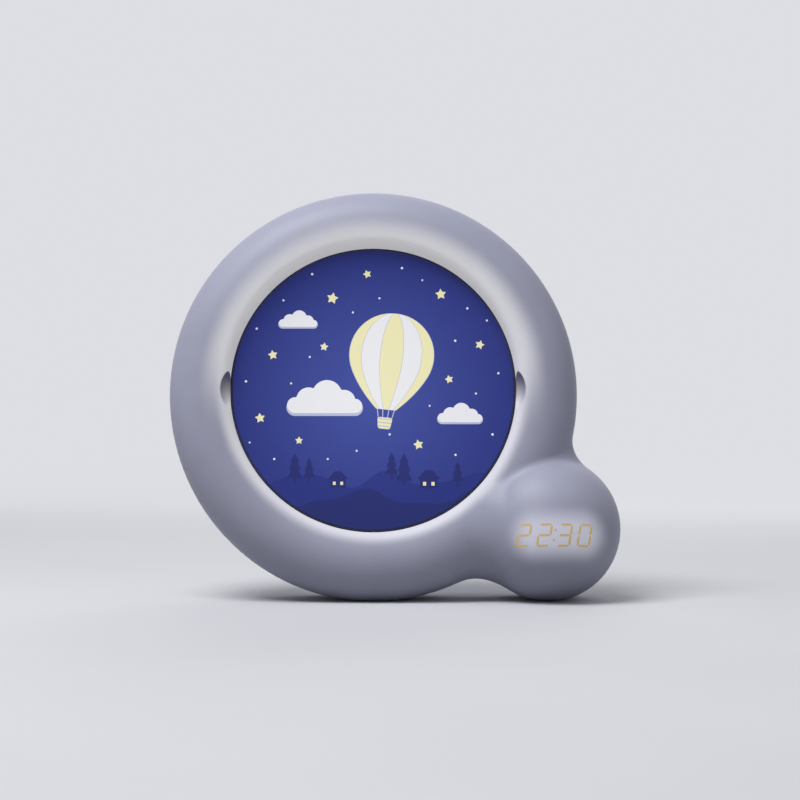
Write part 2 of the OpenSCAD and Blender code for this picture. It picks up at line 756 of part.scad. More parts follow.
module display_block() {
    color(black_color) stand() translate([display_x, display_y])
        slab(block_z, block_z + block_t) square([block_w, block_h], center = true);
}

module display_board() {
    color(board_color) stand() difference() {
        translate([display_x, display_y + 1.8]) slab(block_z - board_t, block_z)
            square([block_w + display_board_rim, block_h + 5], center = true);
        at_each(display_posts) rod(board_screw_r + 0.2, block_z - 3, block_z + 1);
    }
}

// Flat cable from the control board round the light box to the display
module display_ribbon() {
    color([0.82, 0.82, 0.84]) stand() rotate(ball_turn) rotate([90, 0, 0])
        translate([0, 0, -ribbon_w / 2]) linear_extrude(ribbon_w) ribbon_path([
            [bowl_rim_r - 5, light_board_z - 3], [disc_r + 3, light_board_z - 3], [tube_mid + 6, -6],
            [ball_reach - 6, block_z - board_t - 1], [ball_reach - 6, block_z - board_t]]);
}

// Strip of even width along a path
module ribbon_path(path) {
    polygon(concat(path, [for (i = [len(path) - 1:-1:0]) path[i] + ribbon_t * [1, -1]]));
}

// ---- Control board ----
module main_board() {
    color(board_color) stand() difference() {
        slab(board_z, board_z + board_t) {
            translate([0, board_y]) square([board_w, board_h], center = true);
            translate(slider_spot - [0, 1.5]) square(board_tab, center = true);
        }
        at_each(board_posts) rod(board_screw_r + 0.2, board_z - 1, board_z + 3);
    }
}

module board_parts() {
    color(black_color) stand() {
        on_board([-12, board_y - 3], chip);
        on_board([10, board_y + 4], driver);
        on_board([-30, board_y], plug);
        for (x = can_xs) translate([x, board_y - 4])
            rod(can_r, board_z + board_t, board_z + board_t + can_h);
    }
}

module on_board(spot, size) {
    translate(spot) slab(board_z + board_t, board_z + board_t + size[2])
        square([size[0], size[1]], center = true);
}

module tact_switches() {
    color(steel_color) stand() for (x = button_xs) translate([x, button_y]) {
        slab(plunger_tip + plunger_h, board_z) square(tact_w, center = true);
        rod(plunger_r, plunger_tip, plunger_tip + plunger_h);
    }
}

module slide_switch() {
    color(steel_color) stand() translate(slider_spot) difference() {
        slab(board_z - slide_body[2], board_z) square([slide_body[0], slide_body[1]], center = true);
        slab(board_z - slide_body[2] - 1, board_z - slide_body[2] + 2.2)
            square([slider_w + slider_travel + 1, slider_w + 1], center = true);
    }
}

// ---- Rear controls ----
// A cap with a soft edge, its flange inside the cover, and the stem that reaches its switch
module button(i) {
    top = cover_z - button_proud;
    translate([button_xs[i], button_y]) {
        rod(button_r, top + 0.5, cover_in + free_fit + 0.1);
        translate([0, 0, top]) cylinder(r1 = button_r - 0.5, r2 = button_r, h = 0.5);
        rod(button_flange_r, cover_in + free_fit, cover_in + free_fit + button_flange_t);
        rod(button_stem_r, cover_in + free_fit, stem_end);
    }
}

module hour_button() {
    color(shell_color) stand() button(0);
}

module minute_button() {
    color(shell_color) stand() button(1);
}

module alarm_button() {
    color(shell_color) stand() button(2);
}

module volume_button() {
    color(shell_color) stand() button(3);
}

module light_button() {
    color(shell_color) stand() button(4);
}

module nap_button() {
    color(shell_color) stand() button(5);
}

module power_slider() {
    color(black_color) stand() translate([slider_spot[0] - slider_travel / 2, slider_spot[1]]) {
        slab(cover_z - 1.1, board_z - 3) square(slider_w, center = true);
        slab(cover_in + free_fit, cover_in + free_fit + slider_plate[2])
            rounded(slider_plate[0], slider_plate[1], 0.8);
    }
}

module dc_socket() {
    color(black_color) stand() translate(socket_spot) difference() {
        union() {
            rod(socket_body_r, cover_in, cover_in + socket_depth);
            rod(socket_r + 1.5, cover_z + 0.3, cover_in + 1);
        }
        rod(socket_r, cover_z - 1, cover_z + pin_recess + pin_length);
    }
}

module dc_pin() {
    color(steel_color) stand() translate(socket_spot) {
        rod(socket_pin_r, cover_z + pin_recess + 0.5, cover_z + pin_recess + pin_length);
        translate([0, 0, cover_z + pin_recess])
            cylinder(r1 = socket_pin_r - 0.4, r2 = socket_pin_r, h = 0.5);
    }
}

// ---- Loudspeaker ----
module speaker_basket() {
    rim_in = speaker_r - basket_rim;
    color(steel_color) stand() translate(speaker_spot) rotate_extrude() polygon([
        [rim_in, cover_in], [speaker_r, cover_in], [speaker_r, cover_in + 1.6],
        [cup_r, speaker_back - cup_h], [cup_r, speaker_back - magnet_h],
        [vent_r, speaker_back - magnet_h], [vent_r, speaker_back - cup_h],
        [cup_r - basket_t, speaker_back - cup_h], [rim_in, cover_in + 1.2]]);
}

module speaker_cone() {
    edge = speaker_r - basket_rim - 0.2;
    coil_in = coil_r - cone_t;
    coil_end = speaker_back - cup_h - 1;
    color(black_color) stand() translate(speaker_spot) rotate_extrude() polygon([
        [0, cover_in + 2 + cone_t], [coil_in, cover_in + 2.6 + cone_t], [coil_in, coil_end],
        [coil_r, coil_end], [coil_r, cover_in + 2.8 + cone_t], [edge, cover_in + 0.3 + cone_t],
        [edge, cover_in + 0.3], [coil_r, cover_in + 2.6], [0, cover_in + 2]]);
}

module speaker_magnet() {
    color(steel_color) stand() translate(speaker_spot) rod(magnet_r, speaker_back - magnet_h, speaker_back);
}

module speaker_leads() {
    color([0.75, 0.10, 0.10]) stand() for (x = [-4, 4])
        translate([x, board_top - 4, board_z + board_t + lead_r + 0.1]) rotate([-90, 0, 0])
            cylinder(r = lead_r, h = speaker_spot[1] - magnet_r - 0.6 - (board_top - 4));
}

// ---- Batteries ----
module batteries() {
    color([0.25, 0.45, 0.30]) stand() for (i = [0:2]) translate([0, cell_ys[i], cell_z])
        rotate([0, i == 1 ? -90 : 90, 0]) {
            translate([0, 0, -cell_l / 2]) cylinder(d = cell_d, h = cell_l);
            translate([0, 0, cell_l / 2]) cylinder(r = nub_r, h = nub_l);
        }
}

// Bent leaf springs that press on the flat ends, alternating from side to side
module battery_springs() {
    end = bay_w / 2;
    tip = cell_l / 2 + 0.05;
    color(steel_color) stand() for (i = [0:2]) mirror([i == 1 ? 0 : 1, 0, 0])
        translate([0, cell_ys[i] + leaf_w / 2, cell_z]) rotate([90, 0, 0]) linear_extrude(leaf_w) polygon([
            [end, -spring_h], [end - leaf_t, -spring_h], [tip, -0.6], [tip, 0.6],
            [end - leaf_t, spring_h], [end, spring_h], [end, spring_h - leaf_t],
            [end - leaf_t + 0.1, spring_h - 0.8], [tip + leaf_t, 0],
            [end - leaf_t + 0.1, 0.8 - spring_h], [end, leaf_t - spring_h]]);
}

module battery_contacts() {
    end = bay_w / 2;
    tip = cell_l / 2 + nub_l + 0.05;
    color(brass_color) stand() for (i = [0:2]) mirror([i == 1 ? 1 : 0, 0, 0])
        translate([0, cell_ys[i] + leaf_w / 2, cell_z]) rotate([90, 0, 0]) linear_extrude(leaf_w) polygon([
            [end, -contact_h], [end - leaf_t, -contact_h], [tip, -2], [tip, 2],
            [end - leaf_t, contact_h], [end, contact_h], [end, contact_h - leaf_t],
            [tip + leaf_t, 1.8], [tip + leaf_t, -1.8], [end, leaf_t - contact_h]]);
}

module battery_leads() {
    top = bay_y + bay_h / 2 + bay_wall;
    color([0.12, 0.12, 0.12]) stand() for (x = [-20, -16])
        translate([x, top, board_z + board_t + lead_r + 0.1]) rotate([-90, 0, 0])
            cylinder(r = lead_r, h = 6.5);
}

// Door over the cells: two tabs hook under the cover, and a captive screw holds the other edge
module battery_door() {
    edge = bay_y - door_h / 2;
    inner = cover_z + door_t;
    color(shell_color) stand() difference() {
        union() {
            translate([0, bay_y]) slab(cover_z, inner) rounded(door_w, door_h, 2);
            translate([0, ear_y]) slab(cover_z, inner) rounded(ear_w, ear_h, 2);
            for (x = tab_xs) translate([x, edge]) {
                slab(inner - 0.2, inner + 2.4) translate([0, 1.4]) square([tab_w, tab_t], center = true);
                slab(inner + 1, inner + 2.4) translate([0, 0.2]) square([tab_w, 3.6], center = true);
            }
        }
        translate([0, door_screw_y]) {
            rod(cover_screw_r + screw_fit, cover_z - 1, inner + 1);
            rod(small_head_r + 0.3, cover_z - 1, cover_z + 0.9);
        }
    }
}

module door_screw() {
    color(steel_color) stand() translate([0, door_screw_y, cover_z + 0.9])
        screw(cover_screw_r, door_screw_l, small_head_r, 0.9);
}

// ---- Screws ----
module housing_screws() {
    color(steel_color) stand() at_each(screw_spots) translate([0, 0, counterbore_z])
        screw(screw_r, screw_l, screw_head_r, screw_head_h);
}

module cover_screws() {
    color(steel_color) stand() at_each(cover_screw_spots()) translate([0, 0, cover_z + 1.3])
        screw(cover_screw_r, cover_screw_l, small_head_r, board_head_h);
}

module board_screws() {
    color(steel_color) stand() {
        at_each(board_posts) translate([0, 0, board_z + board_t]) mirror([0, 0, 1])
            screw(board_screw_r, board_screw_l, board_head_r, board_head_h);
        at_each(light_posts) translate([0, 0, light_board_z])
            screw(board_screw_r, lamp_screw_l, board_head_r, board_head_h);
        at_each(display_posts) translate([0, 0, block_z - board_t])
            screw(board_screw_r, lamp_screw_l, board_head_r, board_head_h);
    }
}

module bowl_screws() {
    color(steel_color) stand() at_each(bowl_ears) translate([0, 0, bowl_ear_z])
        screw(board_screw_r, lamp_screw_l + 0.5, board_head_r, board_head_h);
}

front_shell();
rear_shell();
back_cover();
picture_print();
picture_plate();
disc_frame();
diffuser();
light_bowl();
light_board();
night_lamps();
day_lamps();
digit_guides();
display_block();
display_board();
display_ribbon();
main_board();
board_parts();
tact_switches();
slide_switch();
hour_button();
minute_button();
alarm_button();
volume_button();
light_button();
nap_button();
power_slider();
dc_socket();
dc_pin();
speaker_basket();
speaker_cone();
speaker_magnet();
speaker_leads();
batteries();
battery_springs();
battery_contacts();
battery_leads();
battery_door();
door_screw();
housing_screws();
cover_screws();
board_screws();
bowl_screws();
ring_feet();
ball_feet();
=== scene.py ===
import math

import bpy
import numpy as np
from mathutils import Matrix, Vector


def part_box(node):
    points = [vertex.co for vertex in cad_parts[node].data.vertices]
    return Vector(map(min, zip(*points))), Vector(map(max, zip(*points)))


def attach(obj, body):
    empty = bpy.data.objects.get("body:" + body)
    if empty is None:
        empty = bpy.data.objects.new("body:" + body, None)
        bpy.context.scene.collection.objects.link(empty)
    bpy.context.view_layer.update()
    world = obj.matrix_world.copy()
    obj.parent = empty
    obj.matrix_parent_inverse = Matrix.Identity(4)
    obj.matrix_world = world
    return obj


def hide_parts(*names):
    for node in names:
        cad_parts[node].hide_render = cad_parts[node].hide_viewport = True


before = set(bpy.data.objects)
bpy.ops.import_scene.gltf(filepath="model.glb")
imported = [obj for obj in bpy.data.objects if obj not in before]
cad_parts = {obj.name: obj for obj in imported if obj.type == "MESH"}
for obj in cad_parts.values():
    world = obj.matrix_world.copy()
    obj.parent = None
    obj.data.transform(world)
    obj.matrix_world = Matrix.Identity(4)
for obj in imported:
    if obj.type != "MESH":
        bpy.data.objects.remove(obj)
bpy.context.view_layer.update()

# A bedside night light with a clock. Sizes in the dictionaries are millimetres and degrees.
# Pieces are modelled in the face frame, X right, Y up the face, Z out of the face, with the
# ring's axis at the origin and the seam of the housing at Z = 0. stand() then leans them back.

mm = 0.001

housing = {
    "ringRadius": 100,
    "tubeRadius": 20,
    "wall": 2.4,
    "rearDepth": 40,
    "rearEdge": 8,
    "lean": 7,
    "drop": 1.8,          # how far the lower half is drawn down
    "baseCut": 0.9,       # depth of the flats it stands on
    "baseRound": 0.5,
    "ballRadius": 35.5,
    "ballReach": 107.8,
    "hollow": 15,         # broad hollow where the ball runs into the ring's lower half
    "hollowLoss": 0.35,   # share of it that is gone in front
    "crease": 12,         # crease between the ball and the ring's upper half, at the seam
    "creaseFront": 2.2,   # and in front, where it is tight
    "creaseFrom": -12,    # heights above the ball's line between which one turns into the other
    "creaseTo": 6,
    "creaseRise": 17,     # height over which both tighten
    "seamStep": 0.3,
    "seamRound": 0.4,
    "skinIn": 0.16,       # the smooth skin lies this far inside the solid's corners
    "edgeIn": 0.08,       # and the rear edge this far
    "smoothTo": 38,       # the angle between faces up to which the shells are shaded smooth
}
pocket = {
    "radius": 69.6,
    "faceZ": 9,
    "ledgeZ": 3.7,
    "ledgeDepth": 1.8,
    "ledgeRadius": 62,
    "rise": 1,
    "lipRadius": 71,
    "lipRound": 2.4,
    "scoopX": 60.6,
    "scoopDrop": 0.9,     # of its middle below the lip
    "scoopRadius": 13,
    "scoopRim": 0.4,
    "plateDrop": 0.95,    # of the middle of the plate that carries the picture, below the face
    "litTo": 68.1,        # the lamp shines through the film this far out, and from here the lower half of its rim is painted dark: a painted shadow in the gap by the frame
    "paintedShadowFrom": 68.7,     # and from here the lower half of its rim lies dark on the frame
}

lean = math.radians(housing["lean"])
tubeMid = housing["ringRadius"] - housing["tubeRadius"]
ballY = -(housing["ringRadius"] + housing["drop"] - housing["ballRadius"])
ballX = math.sqrt(housing["ballReach"] ** 2 - ballY ** 2)
baseHeight = (housing["ringRadius"] + housing["drop"] - housing["baseCut"]) * math.cos(lean)
lipZ = math.sqrt(housing["tubeRadius"] ** 2 - (tubeMid - pocket["lipRadius"]) ** 2)
lipFlare = (pocket["lipRadius"] - pocket["radius"]) / (lipZ - pocket["faceZ"])
scoopZ = lipZ - pocket["scoopDrop"]
plateMid = (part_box("picture_plate")[0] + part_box("picture_plate")[1]) / 2
plateZ = pocket["faceZ"] - pocket["plateDrop"]
faceTurn = Matrix.Rotation(math.pi / 2 - lean, 4, "X")
faceOrigin = plateMid - faceTurn @ Vector((0, pocket["rise"] * mm, plateZ * mm))
faceMatrix = Matrix.Translation(faceOrigin) @ faceTurn


def deselectAll():
    if bpy.context.object and bpy.context.object.mode != "OBJECT":
        bpy.ops.object.mode_set(mode="OBJECT")
    bpy.ops.object.select_all(action="DESELECT")


def only(piece):
    deselectAll()
    piece.select_set(True)
    bpy.context.view_layer.objects.active = piece


def editAll(action="SELECT"):
    bpy.ops.object.mode_set(mode="EDIT")
    bpy.ops.mesh.select_all(action=action)


def leaveEdit():
    bpy.ops.object.mode_set(mode="OBJECT")


def named(name):
    piece = bpy.context.object
    piece.name = name
    piece.data.name = name
    return piece


def stand(piece):
    only(piece)
    piece.matrix_world = faceMatrix @ piece.matrix_world
    bpy.ops.object.transform_apply(location=True, rotation=True, scale=True)


def applyAll(piece):
    only(piece)
    for modifier in list(piece.modifiers):
        bpy.ops.object.modifier_apply(modifier=modifier.name)


def cut(piece, tool, operation="DIFFERENCE"):
    modifier = piece.modifiers.new("cut", "BOOLEAN")
    modifier.operation = operation
    modifier.solver = "EXACT"
    modifier.object = tool
    applyAll(piece)
    bpy.data.objects.remove(tool)


def smooth(piece, angle):
    only(piece)
    bpy.ops.object.shade_smooth_by_angle(angle=math.radians(angle))


def linear(hexColour):
    channels = [int(hexColour[i:i + 2], 16) / 255 for i in (1, 3, 5)]
    return [c / 12.92 if c <= 0.04045 else ((c + 0.055) / 1.055) ** 2.4 for c in channels] + [1]


# Inputs go by place or name. Each is given a value, an output, or a node, which gives its first output
def setInputs(node, inputs):
    for key, value in inputs.items():
        if isinstance(value, bpy.types.Node):
            value = value.outputs[0]
        if isinstance(value, bpy.types.NodeSocket):
            node.id_data.links.new(value, node.inputs[key])
        else:
            node.inputs[key].default_value = value


# A node with its settings and links, and with the stops of its colours, in rising order
def addNode(tree, kind, inputs=(), operation=None, stops=(), **settings):
    made = tree.nodes.new("ShaderNode" + kind)
    if operation:
        made.operation = operation
    for key, value in settings.items():
        setattr(made, key, value)
    setInputs(made, inputs if isinstance(inputs, dict) else dict(enumerate(inputs)))
    elements = made.color_ramp.elements if stops else ()
    for position, _ in stops[2:]:
        elements.new(position)
    for element, (position, colour) in zip(elements, stops):
        element.position = position
        element.color = linear(colour)
    return made


# Settings of a Map Range that starts and ends gently. Its inputs are the value, the values between
# which it changes, and what it gives there
smoothly = {"interpolation_type": "SMOOTHSTEP"}


def startMaterial(name, **values):
    material = bpy.data.materials.new(name)
    material.use_nodes = True
    tree = material.node_tree
    shader = tree.nodes["Principled BSDF"]
    setInputs(shader, values)
    return material, tree, shader, addNode(tree, "TexCoord").outputs["Object"]


# Distance in millimetres, along the face, from a level line of some half length round a point
def faceDistance(tree, place, x, y, half=0):
    toFace = faceMatrix.inverted()
    inFace = addNode(tree, "Mapping", {
        "Vector": place, "Location": toFace.translation, "Rotation": toFace.to_euler()})
    steps = (("MULTIPLY", (1 / mm, 1 / mm, 0)), ("SUBTRACT", (x, y, 0)), ("ABSOLUTE", (0, 0, 0)),
             ("SUBTRACT", (half, 0, 0)), ("MAXIMUM", (0, 0, 0)), ("LENGTH", (0, 0, 0)))
    vector = inFace
    for operation, values in steps:
        vector = addNode(tree, "VectorMath", (vector, values), operation)
    return vector.outputs["Value"], inFace


# Distance in millimetres from the middle of the nearer thumb scoop, and the height above it
def scoopDistance(tree, inFace):
    x, y, z = addNode(tree, "SeparateXYZ", (inFace,)).outputs
    mirrored = addNode(tree, "CombineXYZ", (addNode(tree, "Math", (x,), "ABSOLUTE"), y, z))
    middle = (pocket["scoopX"] * mm, 0, scoopZ * mm)
    offset = addNode(tree, "VectorMath", (mirrored, middle), "SUBTRACT")
    length = addNode(tree, "VectorMath", (offset,), "LENGTH").outputs["Value"]
    return [addNode(tree, "Math", (value, mm), "DIVIDE") for value in (length, y)]


# Surface of a moulding. The spark texture is drawn at 0.9 mm, as the real 0.2 mm is too fine to show
grain = {
    "size": 0.9,
    "depth": 0.05,
    "height": 0.2,
    "patch": 24,             # size of the broad patches in which polish and colour drift
    "drift": (0.3, 0.7),     # values of the noise between which the polish goes from end to end
    "tint": (0.35, 0.65),    # and the colour
    "metal": (0.6, 0.03),    # size and depth on metal,
    "jacket": (0.6, 0.02),   # and on a cell's jacket
}


def mouldGrain(tree, shader, place, rough, size, depth):
    fine, broad = [
        addNode(tree, "TexNoise", {"Vector": place, "Scale": 1 / (width * mm), "Detail": detail})
        for width, detail in ((size, 3), (grain["patch"], 2))]
    bump = addNode(tree, "Bump", {"Height": fine, "Strength": depth, "Distance": grain["height"] * mm})
    polish = addNode(tree, "MapRange", (broad, *grain["drift"], *rough))
    setInputs(shader, {"Roughness": polish, "Normal": bump})
    return broad


# A material of one colour with a little drift, over the mould's grain
def grained(name, light, dark, rough, size=grain["size"], depth=grain["depth"], **values):
    material, tree, shader, place = startMaterial(name, **values)
    broad = mouldGrain(tree, shader, place, rough, size, depth)
    colour = addNode(tree, "ValToRGB", (broad,), stops=list(zip(grain["tint"], (dark, light))))
    setInputs(shader, {"Base Color": colour})
    return material, tree, shader, place


# ABS, injection moulded with a satin spark finish: pale lavender grey with a broad soft sheen
def satinAbs(name):
    return grained(name, "#B2B4CA", "#AEB0C6", (0.46, 0.56), IOR=1.53)


# Light and shade painted into the housing's colour and emission. Each row of three says where it
# starts to fade, where it is gone and how strong it is. Places are heights above the picture's middle
# and distances from its axis
glow = {
    "lampColour": "#FFFDF0",
    "clockColour": "#F4F5FF",
    "low": (-24, 24, 1),          # share of the lower half's light
    "lowLip": (69.8, 77.5, 0.42),
    "highLip": (74, 86, 0.35),
    "front": ((pocket["faceZ"] + 0.5) * mm, (pocket["faceZ"] - 0.5) * mm, 1),
    "scoop": (pocket["scoopRadius"] + 0.2, pocket["scoopRadius"] + 0.6, 1),      # from its middle
    # These rows paint light on the thumb scoops' lower ends and shade on their upper ends
    "scoopLow": (-9, 8, 1),
    "scoopLight": (68, 77, 0.5),
    "scoopShade": (9, -9, 0.5),
    "digits": (3, -5, 11),        # their middle from the ball's, and half their length
    "halo": (3, 15.5, 0.3),       # painted glow, at distances from the digits
}


# The same ABS with painted light in it: emission stands in for the lamp's light on the lip of the
# picture pocket, most of all below, and painted glow stands in for the clock's light through the thin
# wall before the digits. The thumb scoops get painted light on their lower ends and painted shade on
# their upper ends
def litAbs(name):
    material, tree, shader, place = satinAbs(name)
    fromDisc, inFace = faceDistance(tree, place, 0, pocket["rise"])
    fromScoop, height = scoopDistance(tree, inFace)
    x, y, half = glow["digits"]
    fromDigits, _ = faceDistance(tree, place, ballX + x, ballY + y, half)
    places = {"low": height, "lowLip": fromDisc, "highLip": fromDisc, "scoop": fromScoop,
              "scoopLow": height, "scoopLight": fromDisc, "scoopShade": height, "halo": fromDigits,
              "front": addNode(tree, "SeparateXYZ", (inFace,)).outputs["Z"]}
    lit = {key: addNode(tree, "MapRange", (value, *glow[key], 0), **smoothly)
           for key, value in places.items()}
    high, outside = [addNode(tree, "Math", (1, lit[key]), "SUBTRACT") for key in ("low", "scoop")]
    facing = addNode(tree, "Math", (lit["front"], outside), "MULTIPLY")
    # Painted light on the lip, stronger in the lower half, and only in front of the face
    lip = addNode(tree, "Math", (lit["highLip"], high), "MULTIPLY")
    lip = addNode(tree, "Math", (lit["lowLip"], lit["low"], lip), "MULTIPLY_ADD")
    lip = addNode(tree, "Math", (lip, facing), "MULTIPLY")
    # Painted light on the lower ends of the thumb scoops
    paintedScoopLight = addNode(tree, "Math", (lit["scoopLow"], lit["scoopLight"]), "MULTIPLY")
    lamp = addNode(tree, "Math", (lit["scoop"], paintedScoopLight, lip), "MULTIPLY_ADD")
    # Painted glow round the digits, standing in for the clock's light through the thin wall
    clock = addNode(tree, "Math", (lit["halo"], facing), "MULTIPLY")
    # Painted shade: the upper ends of the thumb scoops get a darker colour
    shade = addNode(tree, "Math", (lit["scoop"], lit["scoopShade"]), "MULTIPLY")
    clear = addNode(tree, "Math", (1, shade), "SUBTRACT")
    plain = shader.inputs["Base Color"].links[0].from_socket
    lampColour, clockColour = [linear(glow[key])[:3] for key in ("lampColour", "clockColour")]
    shares = ((plain, clear), (lampColour, lamp), (clockColour, clock))
    shaded, lampLight, clockLight = [addNode(tree, "VectorMath", {0: colour, "Scale": share}, "SCALE")
                                     for colour, share in shares]
    light = addNode(tree, "VectorMath", (lampLight, clockLight), "ADD")
    setInputs(shader, {"Base Color": shaded, "Emission Color": light, "Emission Strength": 1})
    return material


film = {
    "strength": 0.6,
    "ink": 0.42,             # share of its colour that it reflects
    "unlit": 0.2,            # and how much of that is left where no lamp shines
    "middleDrop": 4,         # of the brightest spot below the picture's middle
    "mottle": 9,
    "drift": 5,              # how far the mottle shifts the colours outwards
    "colours": (6, 78),      # distances over which the middle's colour turns into the edge's and over which the lamp fades; measured from below the middle, it also paints shade along the top
    "lamp": (65, 81),        # and over which the lamp fades
    "rimHeight": 36,         # above this the rim has no painted shadow
    "rimShade": 0.9,
    "roughness": 0.5,
    "specular": 0.3,
}


# Printed film lit from behind: each colour shines with the lamp, brightest near the middle. Part of
# what reaches the eye is the lamp's light, so the ink itself reflects less. Its rim carries painted
# shade along the top and a painted shadow over the lower half
def litFilm(name, middle, edge):
    material, tree, shader, place = startMaterial(name, IOR=1.5)
    fromMiddle, inFace = faceDistance(tree, place, 0, pocket["rise"] - film["middleDrop"])
    mottle = addNode(tree, "TexNoise", {"Vector": place, "Scale": 1 / (film["mottle"] * mm), "Detail": 3})
    shifted = addNode(tree, "Math", (mottle, film["drift"], fromMiddle), "MULTIPLY_ADD")
    share = addNode(tree, "MapRange", (shifted, *film["colours"]))
    colour = addNode(tree, "ValToRGB", (share,), stops=[(0, middle), (1, edge)])
    fromRim, _ = faceDistance(tree, place, 0, pocket["rise"])
    # Painted shadow: the lower half of the film's rim is darkened where the gap by the frame lies in
    # shade
    rim = addNode(tree, "MapRange", (fromRim, pocket["paintedShadowFrom"], pocket["litTo"], 1, 0), **smoothly)
    height = addNode(tree, "SeparateXYZ", (inFace,)).outputs["Y"]
    low = addNode(tree, "MapRange", (height, 0, film["rimHeight"] * mm, film["rimShade"], 0), **smoothly)
    rimShade = addNode(tree, "Math", (rim, low), "MULTIPLY")
    clear = addNode(tree, "Math", (1, rimShade), "SUBTRACT")
    # Painted shade: measured from below the middle, the lamp's fade darkens the top of the rim more, as
    # the lip's shadow would
    lamp = addNode(tree, "MapRange", (fromMiddle, *film["lamp"], 1, 0), **smoothly)
    lit = addNode(tree, "Math", (clear, lamp), "MULTIPLY")
    unlit = film["ink"] * film["unlit"]
    ink = addNode(tree, "Math", (lit, film["ink"] - unlit, unlit), "MULTIPLY_ADD")
    setInputs(shader, {
        "Base Color": addNode(tree, "VectorMath", {0: colour, "Scale": ink}, "SCALE"),
        "Roughness": film["roughness"], "Specular IOR Level": film["specular"],
        "Emission Color": colour,
        "Emission Strength": addNode(tree, "Math", (lit, film["strength"]), "MULTIPLY")})
    return material


# Any other moulded plastic, which may have light in it
def plastic(name, light, dark, rough=(0.35, 0.5), strength=0):
    material, _, shader, _ = grained(name, light, dark, rough, IOR=1.5)
    if strength:
        colour = shader.inputs["Base Color"].links[0].from_socket
        setInputs(shader, {"Emission Color": colour, "Emission Strength": strength})
    return material


# Plated steel or brass: its stamped surface is finer than a moulding's and hardly raised
def metal(name, light, dark):
    return grained(name, light, dark, (0.25, 0.4), *grain["metal"], Metallic=1)[0]


# The jacket of a cell along half its length, in shares of that half
cell = {
    "ringFrom": 0.8,
    "ringTo": 0.86,
    "jacketTo": 0.9,
    "soft": 0.01,
    "wear": 0.3,
    "worn": 0.85,
}


# Dry cells: a printed shrink jacket with a pale ring at each end, and bare nickel-plated steel beyond
def cellJacket(name, jacket, ring, steel):
    material, tree, shader, place = startMaterial(name, IOR=1.5)
    broad = mouldGrain(tree, shader, place, (0.22, 0.34), *grain["jacket"])
    low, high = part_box("batteries")
    away = addNode(tree, "SeparateXYZ", (place,)).outputs["X"]
    steps = (("SUBTRACT", (low.x + high.x) / 2), ("ABSOLUTE", 0), ("DIVIDE", (high.x - low.x) / 2))
    for operation, value in steps:
        away = addNode(tree, "Math", (away, value), operation)
    soft = cell["soft"]
    steelFrom = cell["jacketTo"] + soft
    colour = addNode(tree, "ValToRGB", (away,), stops=[
        (cell["ringFrom"], jacket), (cell["ringFrom"] + soft, ring), (cell["ringTo"], ring),
        (cell["ringTo"] + soft / 2, jacket), (cell["jacketTo"], jacket), (steelFrom, steel)])
    worn = addNode(tree, "Math", (broad, cell["wear"], cell["worn"]), "MULTIPLY_ADD")
    setInputs(shader, {
        "Base Color": addNode(tree, "VectorMath", {0: colour, "Scale": worn}, "SCALE"),
        "Metallic": addNode(tree, "Math", (away, steelFrom), "GREATER_THAN")})
    return material


finishes = {
    "housing": litAbs("Satin_ABS_housing"),
    "rear": satinAbs("Satin_ABS_rear")[0],
    # Moulded: an even white with a soft sheen
    "innerWhite": plastic("White_polystyrene", "#F0F0F2", "#E6E6EA"),
    # Moulded: milky, smooth, and lit all through
    "opal": plastic("Opal_acrylic", "#F4F3EA", "#EEEDE4", (0.25, 0.35), 0.25),
    # Glossy sheet, which shows the dark of the print on it
    "plate": plastic("Clear_polycarbonate", "#5A5E8C", "#4C5080", (0.15, 0.25)),
    # Green lacquer over glass cloth, half glossy
    "board": plastic("Solder_mask", "#1F7A44", "#176238", (0.3, 0.4)),
    "black": plastic("Black_ABS", "#1E1E20", "#161618"),      # moulded: dark, satin
    "rubber": plastic("Moulded_rubber", "#3A3A3E", "#303034", (0.7, 0.85)),      # matt
    "steel": metal("Plated_steel", "#C4C6CA", "#AEB0B5"),
    "brass": metal("Plated_brass", "#D2AE62", "#BD984E"),
    "cellJacket": cellJacket("Cell_jacket", "#3A6448", "#D8DAD2", "#C4C6CA"),
    # Drawn over the wire: smooth, half glossy
    "redWire": plastic("PVC_sheath_red", "#B03030", "#962828", (0.4, 0.5)),
    "blackWire": plastic("PVC_sheath_black", "#2A2A2C", "#202022", (0.4, 0.5)),
    "flatCable": plastic("Flat_cable", "#D5D6DA", "#C6C7CC", (0.4, 0.5)),
    "paper": plastic("Pressed_paper", "#2B2B2D", "#222224", (0.75, 0.9)),      # pulp: matt, dark
    "ferrite": plastic("Ferrite", "#4A4A4E", "#3C3C40", (0.55, 0.7)),      # sintered: dull grey
    "button": plastic("Satin_ABS_buttons", "#E9E9EE", "#DFDFE6"),      # moulded: off-white
    # Cast epoxy: glossy, and lit through
    "lampCool": plastic("Lamp_lens_cool", "#DCE4FA", "#CDD8F5", (0.15, 0.25), 0.6),
    "lampWarm": plastic("Lamp_lens_warm", "#FFF0C8", "#FBE6B0", (0.15, 0.25), 0.6),
    # Moulded acrylic: smooth, and lit through
    "amber": plastic("Amber_light_guide", "#F2B55C", "#E9A845", (0.2, 0.3), 0.8),
    # ABS thin enough for light to show through: a dull gold
    "digitLight": plastic("Lit_window", "#C9AE78", "#BFA46E", (0.35, 0.45), 0.4),
    "sky": litFilm("Film_night_sky", "#4654A8", "#222D7A"),
    "hillFar": litFilm("Film_far_hills", "#333F92", "#212B78"),
    "hillNear": litFilm("Film_near_hills", "#2C3580", "#1B2464"),
    "cream": litFilm("Film_cream", "#FDF8C8", "#F6EFB6"),
    "white": litFilm("Film_white", "#FCFCFF", "#F0F1F8"),
    "shade": litFilm("Film_cloud_shade", "#C9CDE8", "#B6BBDC"),
}
print("materials made")


